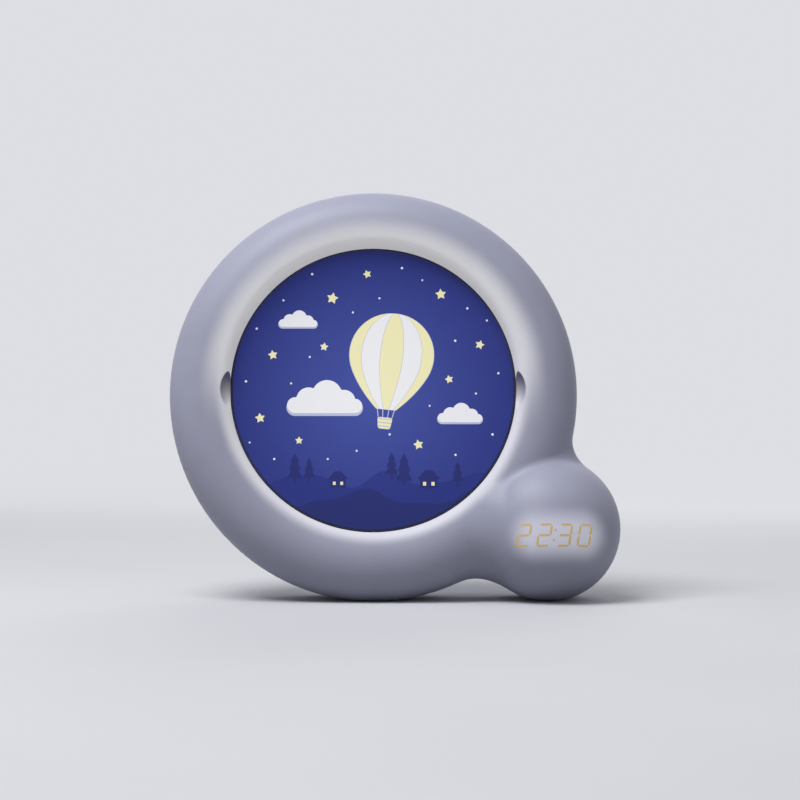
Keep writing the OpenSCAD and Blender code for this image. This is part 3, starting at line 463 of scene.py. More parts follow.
def finish(piece, finishName, body, slot, *replaced):
    piece.data.materials.clear()
    piece.data.materials.append(finishes[finishName])
    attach(piece, body)
    if replaced:
        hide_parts(*replaced)
    return piece


# The housing's form is given as distances in millimetres, negative inside and positive outside.
# These two join two forms, or keep what they share, with a rounding
def joined(a, b, radius):
    hollow = np.hypot(np.maximum(radius - a, 0), np.maximum(radius - b, 0))
    return np.maximum(radius, np.minimum(a, b)) - hollow


def overlap(a, b, radius):
    return -joined(-a, -b, radius)


def raised(y):
    return np.where(y < 0, y / (1 + housing["drop"] / housing["ringRadius"]), y)


def eased(t):
    t = np.clip(t, 0, 1)
    return t ** 2 * (3 - 2 * t)


# Radius that blends the ball into the ring: broad below, a tight crease above, less in front
def blendAt(x, y, z):
    above = (y * ballX - x * ballY) / housing["ballReach"]
    share = eased((above - housing["creaseFrom"]) / (housing["creaseTo"] - housing["creaseFrom"]))
    front = eased(z / housing["creaseRise"])
    crease = housing["crease"] + (housing["creaseFront"] - housing["crease"]) * front
    hollow = housing["hollow"] * (1 - housing["hollowLoss"] * front)
    return hollow * (1 - share) + crease * share


def frontForm(x, y, z):
    ring = np.hypot(np.hypot(x, raised(y)) - tubeMid, z) - housing["tubeRadius"]
    ball = np.sqrt((x - ballX) ** 2 + (y - ballY) ** 2 + z ** 2) - housing["ballRadius"]
    return joined(ring, ball, blendAt(x, y, z)) + housing["skinIn"]


def outline(x, y):
    ring = np.hypot(x, raised(y)) - housing["ringRadius"]
    ball = np.hypot(x - ballX, y - ballY) - housing["ballRadius"]
    return joined(ring, ball, blendAt(x, y, 0)) + housing["skinIn"]


def basePlane(y, z):
    return -(y * math.cos(lean) + z * math.sin(lean)) - baseHeight


def pocketForm(x, y, z):
    radius = pocket["radius"] + np.maximum(0, z - pocket["faceZ"]) * lipFlare
    return radius - np.hypot(x, y - pocket["rise"])


def scoopForm(x, y, z):
    away = (np.abs(x) - pocket["scoopX"]) ** 2 + y ** 2 + (z - scoopZ) ** 2
    return pocket["scoopRadius"] - np.sqrt(away)


def frontSkin(x, y, z):
    body = overlap(frontForm(x, y, z), pocketForm(x, y, z), pocket["lipRound"])
    body = overlap(body, scoopForm(x, y, z), pocket["scoopRim"])
    return overlap(body, basePlane(y, z), housing["baseRound"])


def frontHollow(x, y, z):
    wall = housing["wall"]
    inner = np.maximum(frontForm(x, y, z), basePlane(y, z))
    return np.maximum(np.maximum(inner, pocketForm(x, y, z)), scoopForm(x, y, z)) + wall


rays = {
    "reach": 60,
    "sideReach": 100,
    "halvings": 26,
    "start": 4,           # outside the tube's middle
    "ballStart": 17,      # and so much farther at the ball,
    "ballTurn": 26,       # less and less up to so many degrees from it
    "sideStart": 8,       # the side walls' start farther in
}


# Where a ray leaves a form: the first crossing, closed in on by halving
def crossing(form, start, direction, reach=rays["reach"]):
    near = np.zeros(len(start))
    far = np.full(len(start), float(reach))
    for _ in range(rays["halvings"]):
        middle = (near + far) / 2
        point = start + direction * middle[:, None]
        outside = form(point[:, 0], point[:, 1], point[:, 2]) > 0
        far = np.where(outside, middle, far)
        near = np.where(outside, near, middle)
    return start + direction * ((near + far) / 2)[:, None]


# Directions round the ring, closer together at the thumb scoops and at the creases by the ball: from,
# to and how many
zones = [(-7, 7, 32), (7, 173, 66), (173, 187, 32), (187, 292, 42), (292, 312, 30), (312, 332, 18),
         (332, 353, 36)]
turns = np.radians(np.concatenate([np.linspace(a, b, n, endpoint=False) for a, b, n in zones]))
across = np.stack([np.cos(turns), np.sin(turns), np.zeros(len(turns))], 1)
outOfFace = np.array([0.0, 0.0, 1.0])
ballTurn = math.atan2(ballY, ballX)
fromBall = np.abs((turns - ballTurn + math.pi) % (2 * math.pi) - math.pi)
atBall = np.cos(np.minimum(fromBall * 90 / rays["ballTurn"], math.pi / 2)) ** 2
rayStart = tubeMid + rays["start"] + rays["ballStart"] * atBall


def roundDisc(radius):
    rise = pocket["rise"]
    return rise * np.sin(turns) + np.sqrt(radius ** 2 - (rise * np.cos(turns)) ** 2)


def frontRays(form, angles):
    start = across * rayStart[:, None]
    direction = across * np.cos(angles)[:, None] + outOfFace * np.sin(angles)[:, None]
    return crossing(form, start, direction)


def sideWall(z, inset, lift):
    def form(x, y, height):
        return np.maximum(outline(x, y) + inset, basePlane(y, height) + lift)
    start = across * (rayStart - rays["sideStart"])[:, None] + outOfFace * z
    return crossing(form, start, across, rays["sideReach"])


def ringPoint(radius, z):
    return across * np.broadcast_to(radius, len(turns))[:, None] + outOfFace * z


# One torus is laid through the sections: its rings of corners take the sections' points
def wrapShell(name, columns):
    deselectAll()
    bpy.ops.mesh.primitive_torus_add(major_segments=len(turns), minor_segments=len(columns),
                                     major_radius=tubeMid * mm, minor_radius=housing["tubeRadius"] * mm)
    piece = named(name)
    corners = np.stack(columns, 1).reshape(-1, 3) * mm
    piece.data.vertices.foreach_set("co", corners.ravel())
    editAll()
    bpy.ops.mesh.normals_make_consistent(inside=False)
    leaveEdit()
    return piece


# Rows of corners over a wall: from and to, as shares of the way, and how many, or only how many
rows = {
    "skin": (0, 0.87, 60),
    "lip": (0.88, 1.0, 10),
    "pocket": (0.06, 0.94, 14),
    "inside": (0.86, 0.12, 10),
    "side": 9,
    "edge": 14,
    "edgeInside": 7,
}
seat = {
    "tongue": 1.5,        # height of the front shell's rim in the rear shell's groove
    "clearance": 0.15,
    "edge": 0.4,          # broken edges of the picture's ledge and of the cover's seat
    "middle": 0.3,        # where the middle of a small rounding lies, as a share of it
    "baseLift": 0.1,
    "coverGap": 0.4,
    "coverLedge": 5.5,
    "coverDepth": 2,
    "coverFloor": 2,
}


def makeFrontShell():
    seam = housing["seamRound"]
    lipUp = np.arctan2(lipZ, roundDisc(pocket["lipRadius"]) - rayStart)
    footUp = np.arctan2(pocket["ledgeZ"], roundDisc(pocket["radius"]) - rayStart)
    backZ = pocket["ledgeZ"] - pocket["ledgeDepth"]
    backRadius = roundDisc(pocket["radius"] + housing["wall"])
    backUp = np.arctan2(backZ, backRadius - rayStart)
    firstUp = np.full(len(turns), math.atan2(seam, housing["tubeRadius"]))
    shares = np.concatenate([np.linspace(*rows["skin"]), np.linspace(*rows["lip"])])
    columns = [frontRays(frontSkin, firstUp + (lipUp - firstUp) * s) for s in shares]
    shares = np.linspace(*rows["pocket"])
    columns += [frontRays(frontSkin, lipUp + (footUp - lipUp) * s) for s in shares]
    ledge, ledgeZ, edge = roundDisc(pocket["ledgeRadius"]), pocket["ledgeZ"], seat["edge"]
    columns += [ringPoint(radius, z) for radius, z in (
        (roundDisc(pocket["radius"]), ledgeZ), (ledge + edge, ledgeZ), (ledge, ledgeZ - edge),
        (ledge, backZ), (backRadius, backZ))]
    columns += [frontRays(frontHollow, backUp * s) for s in np.linspace(*rows["inside"])]
    wall, tongue, tongueZ = housing["wall"], housing["wall"] / 2, -seat["tongue"]
    inner = sideWall(0, wall, wall)
    middle = seam * seat["middle"]
    columns += [inner, ringPoint(np.linalg.norm(inner, axis=1), tongueZ),
                sideWall(tongueZ, tongue, tongue), sideWall(0, tongue, tongue),
                sideWall(0, seam, seam), sideWall(middle, middle, middle)]
    return wrapShell("frontHousing", columns)


def makeRearShell():
    wall, edge, step = housing["wall"], housing["rearEdge"], housing["seamStep"]
    seam = housing["seamRound"]
    depth = housing["rearDepth"]
    draft = math.tan(lean)
    edgeZ = -(depth - edge)
    edgeIn = step + (-edgeZ + edge * math.sin(lean)) * draft + edge * math.cos(lean)

    def edgePoint(radius, up):
        return sideWall(edgeZ - radius * math.sin(up), edgeIn - radius * math.cos(up), edge - radius)

    def skinPoint(z):
        return sideWall(z, step - z * draft, 0)
    groove = wall / 2 - seat["clearance"]
    grooveZ = -(seat["tongue"] + seat["clearance"])
    columns = [sideWall(0, groove, groove), sideWall(grooveZ, groove, groove),
               sideWall(grooveZ, wall + step, wall)]
    columns += [edgePoint(edge - wall, a)
                for a in np.linspace(lean, math.pi / 2, rows["edgeInside"])]
    coverLow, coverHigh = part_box("back_cover")
    radius = (coverHigh.x - coverLow.x) / 2 / mm + seat["coverGap"]
    ledge, floorZ = radius - seat["coverLedge"], seat["coverDepth"] - depth
    ledgeTop = floorZ + seat["coverFloor"]
    edgeRound, middle = seat["edge"], seat["edge"] * seat["middle"]
    columns += [ringPoint(away, z) for away, z in (
        (radius + wall, wall - depth), (radius + wall, ledgeTop), (ledge, ledgeTop), (ledge, floorZ),
        (radius, floorZ), (radius, edgeRound - depth), (radius + middle, middle - depth),
        (radius + edgeRound, -depth))]
    columns += [edgePoint(edge - housing["edgeIn"], a)
                for a in np.linspace(math.pi / 2, lean, rows["edge"])]
    columns += [skinPoint(z) for z in np.linspace(edgeZ, -seam, rows["side"])]
    middle = seam * seat["middle"]
    columns += [sideWall(-middle, step + middle, seat["baseLift"]), sideWall(0, step + seam, seam)]
    return wrapShell("rearHousing", columns)


def addRod(radius, bottom, top, x=0, y=0, sides=48):
    bpy.ops.mesh.primitive_cylinder_add(vertices=sides, radius=radius * mm, depth=(top - bottom) * mm,
                                        location=(x * mm, y * mm, (top + bottom) / 2 * mm))
    return bpy.context.object


def joinAll(pieces):
    deselectAll()
    for piece in pieces:
        piece.select_set(True)
    bpy.context.view_layer.objects.active = pieces[0]
    bpy.ops.object.join()


rearHoles = {
    "turns": (20, 90, 160, 222, 278),
    "ballSpot": (0, -17.5),
    "bossRadius": 5,
    "bossFoot": 1.2,      # into the rear wall
    "bossTop": -0.1,
    "headRadius": 3.4,
    "headDepth": -16,
    "shankRadius": 1.7,
    "past": 1,            # how far a drill goes past a face
    "ringFoot": 5.15,
    "ballFoot": 3.75,
    "footDepth": 1.5,
}


def drillRearShell(piece):
    deselectAll()
    holes, back = rearHoles, -housing["rearDepth"]
    drop = back - holes["past"]
    spots = [(tubeMid * math.cos(math.radians(a)), tubeMid * math.sin(math.radians(a)))
             for a in holes["turns"]]
    spots.append((ballX + holes["ballSpot"][0], ballY + holes["ballSpot"][1]))
    for x, y in spots:
        cut(piece, addRod(holes["bossRadius"], back + holes["bossFoot"], holes["bossTop"], x, y), "UNION")
    for x, y in spots:
        cut(piece, addRod(holes["headRadius"], drop, holes["headDepth"], x, y))
        cut(piece, addRod(holes["shankRadius"], drop, holes["past"], x, y, 32))


front = makeFrontShell()
stand(front)
smooth(front, housing["smoothTo"])
finish(front, "housing", "housing", "housing", "front_shell")
print("front housing made", len(front.data.polygons))

rear = makeRearShell()
drillRearShell(rear)
stand(rear)
for node, radius in (("ring_feet", rearHoles["ringFoot"]), ("ball_feet", rearHoles["ballFoot"])):
    low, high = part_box(node)
    x, depth = (low.x + high.x) / 2 / mm, rearHoles["footDepth"]
    for y in (low.y + (high.x - low.x) / 2, high.y - (high.x - low.x) / 2):
        cut(rear, addRod(radius, -depth, depth, x, y / mm))
smooth(rear, housing["smoothTo"])
finish(rear, "rear", "housing", "housing", "rear_shell")
print("rear housing made", len(rear.data.polygons))

# The picture disc: a film printed in layers, with places from the disc's middle

picture = {
    "radius": 68.85,
    "back": 8.8,
    "inset": 0.05,        # of the hills from the rim
    "bleed": 0.25,        # gap that shows as a line between drawn pieces
    "farHill": (-44, 3.2, 41, 0.4),       # height, swell, length of a wave, shift
    "nearHill": (-53, 3.6, 58, 2.1),
    "ripple": (1.2, 4.1),
    "skySteps": 160,
    "hillSteps": 181,
    "rimSteps": 60,
    "cloudSteps": 90,
    "dotSteps": 14,
}
# Bottom and top of each kind of drawn piece, from the film's back
layers = {
    "pictureSky": (0, 0.06),
    "farHill": (0.06, 0.09),
    "nearHill": (0.09, 0.115),
    "fir": (0.085, 0.105),
    "cottage": (0.085, 0.107),
    "pane": (0.1, 0.125),
    "star": (0.05, 0.09),
    "dot": (0.05, 0.085),
    "envelope": (0.06, 0.12),
    "rope": (0.06, 0.1),
    "gore": (0.1, 0.15),
    "basket": (0.1, 0.15),
    "band": (0.14, 0.165),
}
# Outlines in shares of a size: half a fir from its top down to the trunk, then a cottage and a pane
firHalf = [(0, 1.5), (0.26, 1), (0.16, 1), (0.36, 0.5), (0.22, 0.5), (0.44, 0), (0.08, 0)]
cottage = [(-0.5, 0), (0.5, 0), (0.5, 0.55), (0.66, 0.55), (0.2, 1.05), (-0.2, 1.05), (-0.66, 0.55),
           (-0.5, 0.55)]
pane = [(-0.09, 0.17), (0.09, 0.17), (0.09, 0.38), (-0.09, 0.38)]
village = {
    "firs": ((-38, 8), (-31, 6.4), (9, 7), (15, 9), (41, 6.2)),     # place across, size
    "cottages": ((-17, 7.5), (27, 8.5)),
    "paneSide": 0.24,
    "firSunk": 1,
    "cottageSunk": 2,
    "trunk": 2.4,
}
balloon = {
    "middle": (9, 17),
    "radius": 20.5,
    "topTurn": math.pi / 2 - 0.03,        # just short of the top, where the gores would cross
    "join": -0.45,        # height, in radii, at which the sphere turns into the narrowing skirt
    "taper": 0.38,        # how much faster it narrows lower down
    "mouthDrop": 27,
    "mouthHalf": 4.6,
    "gores": (-1, -0.72, -0.27, 0.27, 0.72, 1),
    "goreSteps": (22, 12),          # above the join and below it
    "line": 0.3,          # how far the pale ground shows round them
    "tilt": -6,
    "basket": (7.4, 5.6, 36.5),     # width, height, how far it hangs below the middle
    "basketFoot": 0.4,    # half its width at the foot, as a share of the width
    "basketRound": 1,
    "rope": 0.45,
    "ropes": (-1, -0.35, 0.35, 1),
    "ropeEnds": (0.9, 0.46),        # shares of the mouth and of the basket at which they end
    "bands": (0.1, 0.42, 0.74),
    "bandHalves": (0.44, 0.43),
    "band": 0.5,
}
clouds = [
    {"middle": (-24, -13), "scale": 1.0, "lift": 0.19},
    {"middle": (42, -17), "scale": 0.6, "lift": 0.12},
    {"middle": (-37, 30), "scale": 0.52, "lift": 0.12},
]
# Circles of which a cloud is drawn, all standing on its flat underside: middle and radius
cloudBumps = [(-14, 4.2, 4.2), (-7.5, 7, 6.2), (1.5, 9.2, 7.6), (9.8, 6.2, 5.8), (15.2, 3.8, 3.8)]
# The white of a cloud is smaller than its shade and drawn higher, so that the shade shows below
cloudShade = {"depth": 0.04, "top": 0.02, "shift": 1.1, "shrink": 0.3}
starShape = {"inner": 0.52, "round": 0.22}
stars = [(-49, 17, 2.5, 10), (-20, 45, 3.0, -12), (-3, 57, 2.2, 20), (33, 47, 2.8, 5),
         (52, 22, 2.4, -18), (-55, -14, 2.6, 8), (37, 5, 2.2, 15), (-24, 21, 2.2, -8),
         (22, -27, 2.6, 12), (-36, -25, 2.0, 0)]
dots = [(-30, 57, 0.6), (-44, 44, 0.5), (-57, 30, 0.55), (-31, 16, 0.5), (-62, 4, 0.6), (-40, 3, 0.5),
        (-10, 38, 0.5), (14, 60, 0.6), (24, 54, 0.45), (46, 40, 0.55), (55.5, 34, 0.5), (40, 24, 0.6),
        (61, 8, 0.55), (50, -2, 0.5), (58, -22, 0.6), (27.5, -8, 0.45), (8, -22, 0.55), (-8, -30, 0.5),
        (-48, -34, 0.55), (-22, -34, 0.5), (40, -32, 0.55), (-60, -26, 0.45), (3, 45, 0.5)]


# A flat shape: a filled circle whose corners take the outline, drawn out to its thickness
def flatShape(name, outlinePoints, bottom, top, roundOff=0):
    deselectAll()
    bpy.ops.mesh.primitive_circle_add(vertices=len(outlinePoints), radius=5 * mm, fill_type="NGON")
    piece = named(name)
    for corner, (x, y) in zip(piece.data.vertices, outlinePoints):
        corner.co = (x * mm, (y + pocket["rise"]) * mm, bottom * mm)
    editAll()
    if roundOff:
        bpy.ops.mesh.bevel(offset=roundOff * mm, offset_type="OFFSET", segments=3, affect="VERTICES")
        bpy.ops.mesh.select_all(action="SELECT")
    bpy.ops.mesh.extrude_region_move(TRANSFORM_OT_translate={"value": (0, 0, (top - bottom) * mm)})
    bpy.ops.mesh.select_all(action="SELECT")
    bpy.ops.mesh.normals_make_consistent(inside=False)
    leaveEdit()
    # Thin crescents can come out inside out, which their signed volume tells
    if sum(face.center.dot(face.normal) * face.area for face in piece.data.polygons) < 0:
        piece.data.flip_normals()
    return piece


def printed(name, outlinePoints, roundOff=0):
    bottom, top = layers[name]
    return flatShape(name, outlinePoints, picture["back"] + bottom, picture["back"] + top, roundOff)


def placed(shape, x, y, size=1):
    return [(x + size * dx, y + size * dy) for dx, dy in shape]


# Four corners between two level lines, each given by its middle and half its length
def between(x1, y1, half1, x2, y2, half2):
    return [(x1 - half1, y1), (x1 + half1, y1), (x2 + half2, y2), (x2 - half2, y2)]


# Leans the balloon's points about its middle
def tilted(points):
    x0, y0 = balloon["middle"]
    c, s = math.cos(math.radians(balloon["tilt"])), math.sin(math.radians(balloon["tilt"]))
    return [(x0 + (x - x0) * c - (y - y0) * s, y0 + (x - x0) * s + (y - y0) * c) for x, y in points]


def circlePoints(radius, count):
    angles = [2 * math.pi * i / count for i in range(count)]
    return [(radius * math.cos(a), radius * math.sin(a)) for a in angles]


def onFilm(pieces, name, finishName):
    joinAll(pieces)
    piece = named(name)
    stand(piece)
    finish(piece, finishName, "picture_disc", "picture")


def hillLine(x, hill):
    height, swell, wave, shift = hill
    ripple, length = picture["ripple"]
    height += swell * math.sin(2 * math.pi * x / wave + shift)
    return height + ripple * math.sin(x / length + shift)


def hillPoints(hill):
    radius = picture["radius"] - picture["inset"]
    xs = np.linspace(-radius, radius, picture["hillSteps"])
    top = [(x, hillLine(x, hill)) for x in xs if math.hypot(x, hillLine(x, hill)) < radius]
    first = math.atan2(top[0][1], top[0][0])
    last = math.atan2(top[-1][1], top[-1][0])
    return top + [(radius * math.cos(a), radius * math.sin(a))
                  for a in np.linspace(last, first, picture["rimSteps"])]


def firPoints(x, y, size):
    right = placed(firHalf, 0, 0, size)
    right.append((right[-1][0], -village["trunk"]))
    return placed(right + [(-dx, dy) for dx, dy in right[:0:-1]], x, y)


# Outline of a cloud: the tops of its circles from left to right, and back along the underside
def cloudPoints(cloud, grow=0.0):
    x0, y0 = cloud["middle"]
    bumps = [(x, y, r + grow) for x, y, r in (np.array(cloudBumps) * cloud["scale"])]
    left = bumps[0][0] - bumps[0][2]
    right = bumps[-1][0] + bumps[-1][2]
    xs = left + (right - left) * (1 - np.cos(np.linspace(0, math.pi, picture["cloudSteps"]))) / 2

    def rise(x, bx, r):
        return math.sqrt(max(r ** 2 - (x - bx) ** 2, 0))
    top = [max(y + rise(x, bx, r) for bx, y, r in bumps if abs(x - bx) <= r + 1e-9) for x in xs]
    under = []
    for x in xs:
        bx, y, r = bumps[0] if x < bumps[0][0] else bumps[-1]
        beyond = x < bumps[0][0] or x > bumps[-1][0]
        under.append(y - rise(x, bx, r) if beyond else -grow)
    return placed(list(zip(xs, top)) + list(zip(xs, under))[-2:0:-1], x0, y0)


def balloonHalf(y):
    radius = balloon["radius"]
    drop = balloon["mouthDrop"]
    join = balloon["join"] * radius
    if y >= join:
        return math.sqrt(max(radius ** 2 - y ** 2, 0))
    start = math.sqrt(radius ** 2 - join ** 2)
    share = (y - join) / (-drop - join)
    taper = balloon["taper"]
    return start + (balloon["mouthHalf"] - start) * ((1 - taper) * share + taper * share ** 2)


def gorePoints(left, right, grow=0.0):
    radius = balloon["radius"]
    join = balloon["join"]
    above, below = balloon["goreSteps"]
    heights = [radius * math.sin(a) for a in np.linspace(balloon["topTurn"], join, above)]
    heights += list(np.linspace(join * radius - 1, -balloon["mouthDrop"], below))
    gap = picture["bleed"] / 2
    x0, y0 = balloon["middle"]
    side = [(x0 + left * balloonHalf(y) + (gap if left > -1 else -grow), y0 + y) for y in heights]
    back = [(x0 + right * balloonHalf(y) - (gap if right < 1 else -grow), y0 + y) for y in heights]
    return tilted(side + back[::-1])


def starPoints(x, y, radius, turn):
    points = []
    for i in range(10):
        a = math.radians(turn + 90 + 36 * i)
        r = radius if i % 2 == 0 else radius * starShape["inner"]
        points.append((x + r * math.cos(a), y + r * math.sin(a)))
    return points


def makePicture():
    sky = printed("pictureSky", circlePoints(picture["radius"], picture["skySteps"]))
    stand(sky)
    finish(sky, "sky", "picture_disc", "picture", "picture_print")
    far = picture["farHill"]
    onFilm([printed("farHill", hillPoints(far))], "pictureFarHills", "hillFar")
    near = [printed("nearHill", hillPoints(picture["nearHill"]))]
    for x, size in village["firs"]:
        near.append(printed("fir", firPoints(x, hillLine(x, far) - village["firSunk"], size)))
    lights = []
    for x, size in village["cottages"]:
        y = hillLine(x, far) - village["cottageSunk"]
        near.append(printed("cottage", placed(cottage, x, y, size)))
        for side in (-village["paneSide"], village["paneSide"]):
            lights.append(printed("pane", placed([(side + dx, dy) for dx, dy in pane], x, y, size)))
    onFilm(near, "pictureNearHills", "hillNear")
    lights += [printed("star", starPoints(*star), starShape["round"]) for star in stars]
    onFilm(lights, "pictureStars", "cream")
    small = [printed("dot", placed(circlePoints(r, picture["dotSteps"]), x, y)) for x, y, r in dots]
    onFilm(small, "pictureDots", "white")


def makeBalloon():
    x0, y0 = balloon["middle"]
    width, height, hang = balloon["basket"]
    mouth = y0 - balloon["mouthDrop"]
    rim = y0 - hang + height
    half = balloon["rope"] / 2
    line = [printed("envelope", gorePoints(-1, 1, balloon["line"]))]
    for side in balloon["ropes"]:
        upper = x0 + side * balloon["mouthHalf"] * balloon["ropeEnds"][0]
        lower = x0 + side * width * balloon["ropeEnds"][1]
        line.append(printed("rope", tilted(between(upper, mouth, half, lower, rim, half))))
    onFilm(line, "pictureLines", "shade")
    colours = {"white": [], "cream": []}
    gores = balloon["gores"]
    for i in range(len(gores) - 1):
        name = "cream" if i % 2 == 0 else "white"
        colours[name].append(printed("gore", gorePoints(gores[i], gores[i + 1])))
    basket = between(x0, rim, width / 2, x0, rim - height, width * balloon["basketFoot"])
    colours["cream"].append(printed("basket", tilted(basket), balloon["basketRound"]))
    onFilm(colours["cream"], "pictureCreamGores", "cream")
    onFilm(colours["white"], "pictureWhiteGores", "white")
    bands = []
    halves = [width * share for share in balloon["bandHalves"]]
    for drop in balloon["bands"]:
        y = rim - height * drop
        band = between(x0, y, halves[0], x0, y - balloon["band"], halves[1])
        bands.append(printed("band", tilted(band)))
    whites = []
    for cloud in clouds:
        x, y = cloud["middle"]
        top = picture["back"] + cloud["lift"]
        bottom = top - cloudShade["depth"]
        bands.append(flatShape("cloudShade", cloudPoints(cloud), bottom, top - cloudShade["top"]))
        white = dict(cloud, middle=(x, y + cloudShade["shift"] * cloud["scale"]))
        whites.append(flatShape("cloud", cloudPoints(white, -cloudShade["shrink"]), bottom, top))
    onFilm(bands, "pictureShades", "shade")
    onFilm(whites, "pictureClouds", "white")


makePicture()
makeBalloon()
print("picture made")

# The time, which shines through the ball's thin wall

digits = {
    "text": "22:30",
    "height": 11,
    "width": 6.6,
    "pitch": 9.6,
    "slant": 9,
    "bar": 1.05,
    "gap": 0.3,
    "dot": 0.6,
    "colon": 2.4,
    "tip": 0.02,          # half width of a bar at its pointed ends
    "shift": (1, -5.2),   # from the middle of the ball
    "proud": 0.03,
    "thick": 0.1,
    "inside": (15.0, 40),           # from this height in the ball its skin is looked for so far up
}
slope = math.tan(math.radians(digits["slant"]))
# Bars of a seven-bar digit, clockwise from the top, then the middle one
litBars = {"0": "abcdef", "2": "abged", "3": "abgcd"}


# Lays flat pieces on the skin of the ball and gives them a little thickness
def layOnBall(piece):
    corners = np.array([corner.co[:] for corner in piece.data.vertices]) / mm
    height, reach = digits["inside"]
    start = np.column_stack([corners[:, 0], corners[:, 1], np.full(len(corners), height)])
    skin = crossing(frontForm, start, np.broadcast_to(outOfFace, start.shape), reach)
    skin[:, 2] += digits["proud"]
    piece.data.vertices.foreach_set("co", (skin * mm).ravel())
    thick = piece.modifiers.new("thickness", "SOLIDIFY")
    thick.thickness = digits["thick"] * mm
    thick.offset = -1
    applyAll(piece)


def addBar(x, y, length, lying, footY):
    bpy.ops.mesh.primitive_grid_add(x_subdivisions=10, y_subdivisions=2, size=2)
    bar = bpy.context.object
    for corner in bar.data.vertices:
        u = corner.co.x * length / 2
        v = corner.co.y * max(min(digits["bar"] / 2, length / 2 - abs(u)), digits["tip"])
        a, b = (u, v) if lying else (v, u)
        corner.co = ((x + a + (y + b - footY) * slope) * mm, (y + b) * mm, 0)
    return bar


def makeDigits():
    x0 = ballX + digits["shift"][0]
    y0 = ballY + digits["shift"][1]
    w = digits["width"] - digits["bar"]
    h = digits["height"] - digits["bar"]
    gap = digits["gap"]
    places = {
        "a": (0, h / 2, True), "b": (w / 2, h / 4, False), "c": (w / 2, -h / 4, False),
        "d": (0, -h / 2, True), "e": (-w / 2, -h / 4, False), "f": (-w / 2, h / 4, False),
        "g": (0, 0, True)}
    deselectAll()
    pieces = []
    text = digits["text"].replace(":", "")
    for i, digit in enumerate(text):
        x = x0 + (i - (len(text) - 1) / 2) * digits["pitch"]
        for name in litBars[digit]:
            dx, dy, lying = places[name]
            length = (w if lying else h / 2) - gap
            pieces.append(addBar(x + dx, y0 + dy, length, lying, y0))
    for dy in (-digits["colon"], digits["colon"]):
        bpy.ops.mesh.primitive_circle_add(vertices=20, radius=digits["dot"] * mm, fill_type="NGON",
                                          location=((x0 + dy * slope) * mm, (y0 + dy) * mm, 0))
        bpy.ops.object.transform_apply(location=True)
        pieces.append(bpy.context.object)
    joinAll(pieces)
    lit = named("litDigits")
    layOnBall(lit)
    stand(lit)
    finish(lit, "digitLight", "housing", "amber_plastic")


makeDigits()
print("digits made")

# Moulded parts that are seen or touched: finish, body, slot and width of the rounding of their edges
softParts = {
    "back_cover": ("rear", "housing", "housing", 0.35),
    "battery_door": ("rear", "battery_door", "housing", 0.3),
    **{name + "_button": ("button", name + "_button", "housing", 0.3)
       for name in ("hour", "minute", "alarm", "volume", "light", "nap")},
    "power_slider": ("black", "power_slider", "black_plastic", 0.2),
    "dc_socket": ("black", "housing", "black_plastic", 0.25),
    "ring_feet": ("rubber", "housing", "rubber", 0.4),
    "ball_feet": ("rubber", "housing", "rubber", 0.4),
    "disc_frame": ("innerWhite", "picture_disc", "inner_plastic", 0.25),
}


softening = {
    "merge": 0.002,
    "flat": 0.5,          # degrees within which faces count as one flat stretch
    "sharp": 40,
    "segments": 3,
}


# A copy of a solid's mesh: corners merged, flat stretches made one face, sharp edges rounded
def soften(nodeName, finishName, body, slot, width):
    deselectAll()
    bpy.ops.mesh.primitive_cube_add(size=1)
    piece = named("soft_" + nodeName)
    piece.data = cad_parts[nodeName].data.copy()
    piece.data.name = "soft_" + nodeName
    only(piece)
    editAll()
    bpy.ops.mesh.remove_doubles(threshold=softening["merge"] * mm)
    bpy.ops.mesh.dissolve_limited(angle_limit=math.radians(softening["flat"]))
    leaveEdit()
    rounding = piece.modifiers.new("rounding", "BEVEL")
    rounding.width = width * mm
    rounding.segments = softening["segments"]
    rounding.limit_method = "ANGLE"
    rounding.angle_limit = math.radians(softening["sharp"])
    rounding.miter_outer = "MITER_ARC"
    applyAll(piece)
    smooth(piece, softening["sharp"])
    evening = piece.modifiers.new("evening", "WEIGHTED_NORMAL")
    evening.keep_sharp = True
    applyAll(piece)
    return finish(piece, finishName, body, slot, nodeName)


for nodeName, (finishName, body, slot, width) in softParts.items():
    piece = soften(nodeName, finishName, body, slot, width)
    print(piece.name, len(piece.data.polygons))
print("moulded parts rounded")

# Finishes of the parts that come straight from the solid model
solidParts = {
    "plate": ["picture_plate"],
    "opal": ["diffuser"],
    "innerWhite": ["light_bowl"],
    "board": ["light_board", "display_board", "main_board"],
    "lampCool": ["night_lamps"],
    "lampWarm": ["day_lamps"],
    "amber": ["digit_guides"],
    "black": ["display_block", "board_parts"],
    "paper": ["speaker_cone"],
    "ferrite": ["speaker_magnet"],
    "flatCable": ["display_ribbon"],
    "steel": ["tact_switches", "slide_switch", "dc_pin", "speaker_basket", "battery_springs",
              "door_screw", "housing_screws", "cover_screws", "board_screws", "bowl_screws"],
    "brass": ["battery_contacts"],
    "cellJacket": ["batteries"],
    "redWire": ["speaker_leads"],
    "blackWire": ["battery_leads"],
}
for finishName, nodeNames in solidParts.items():
    for nodeName in nodeNames:
        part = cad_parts[nodeName]
        part.data.materials.clear()
        part.data.materials.append(finishes[finishName])
print("solid parts finished")

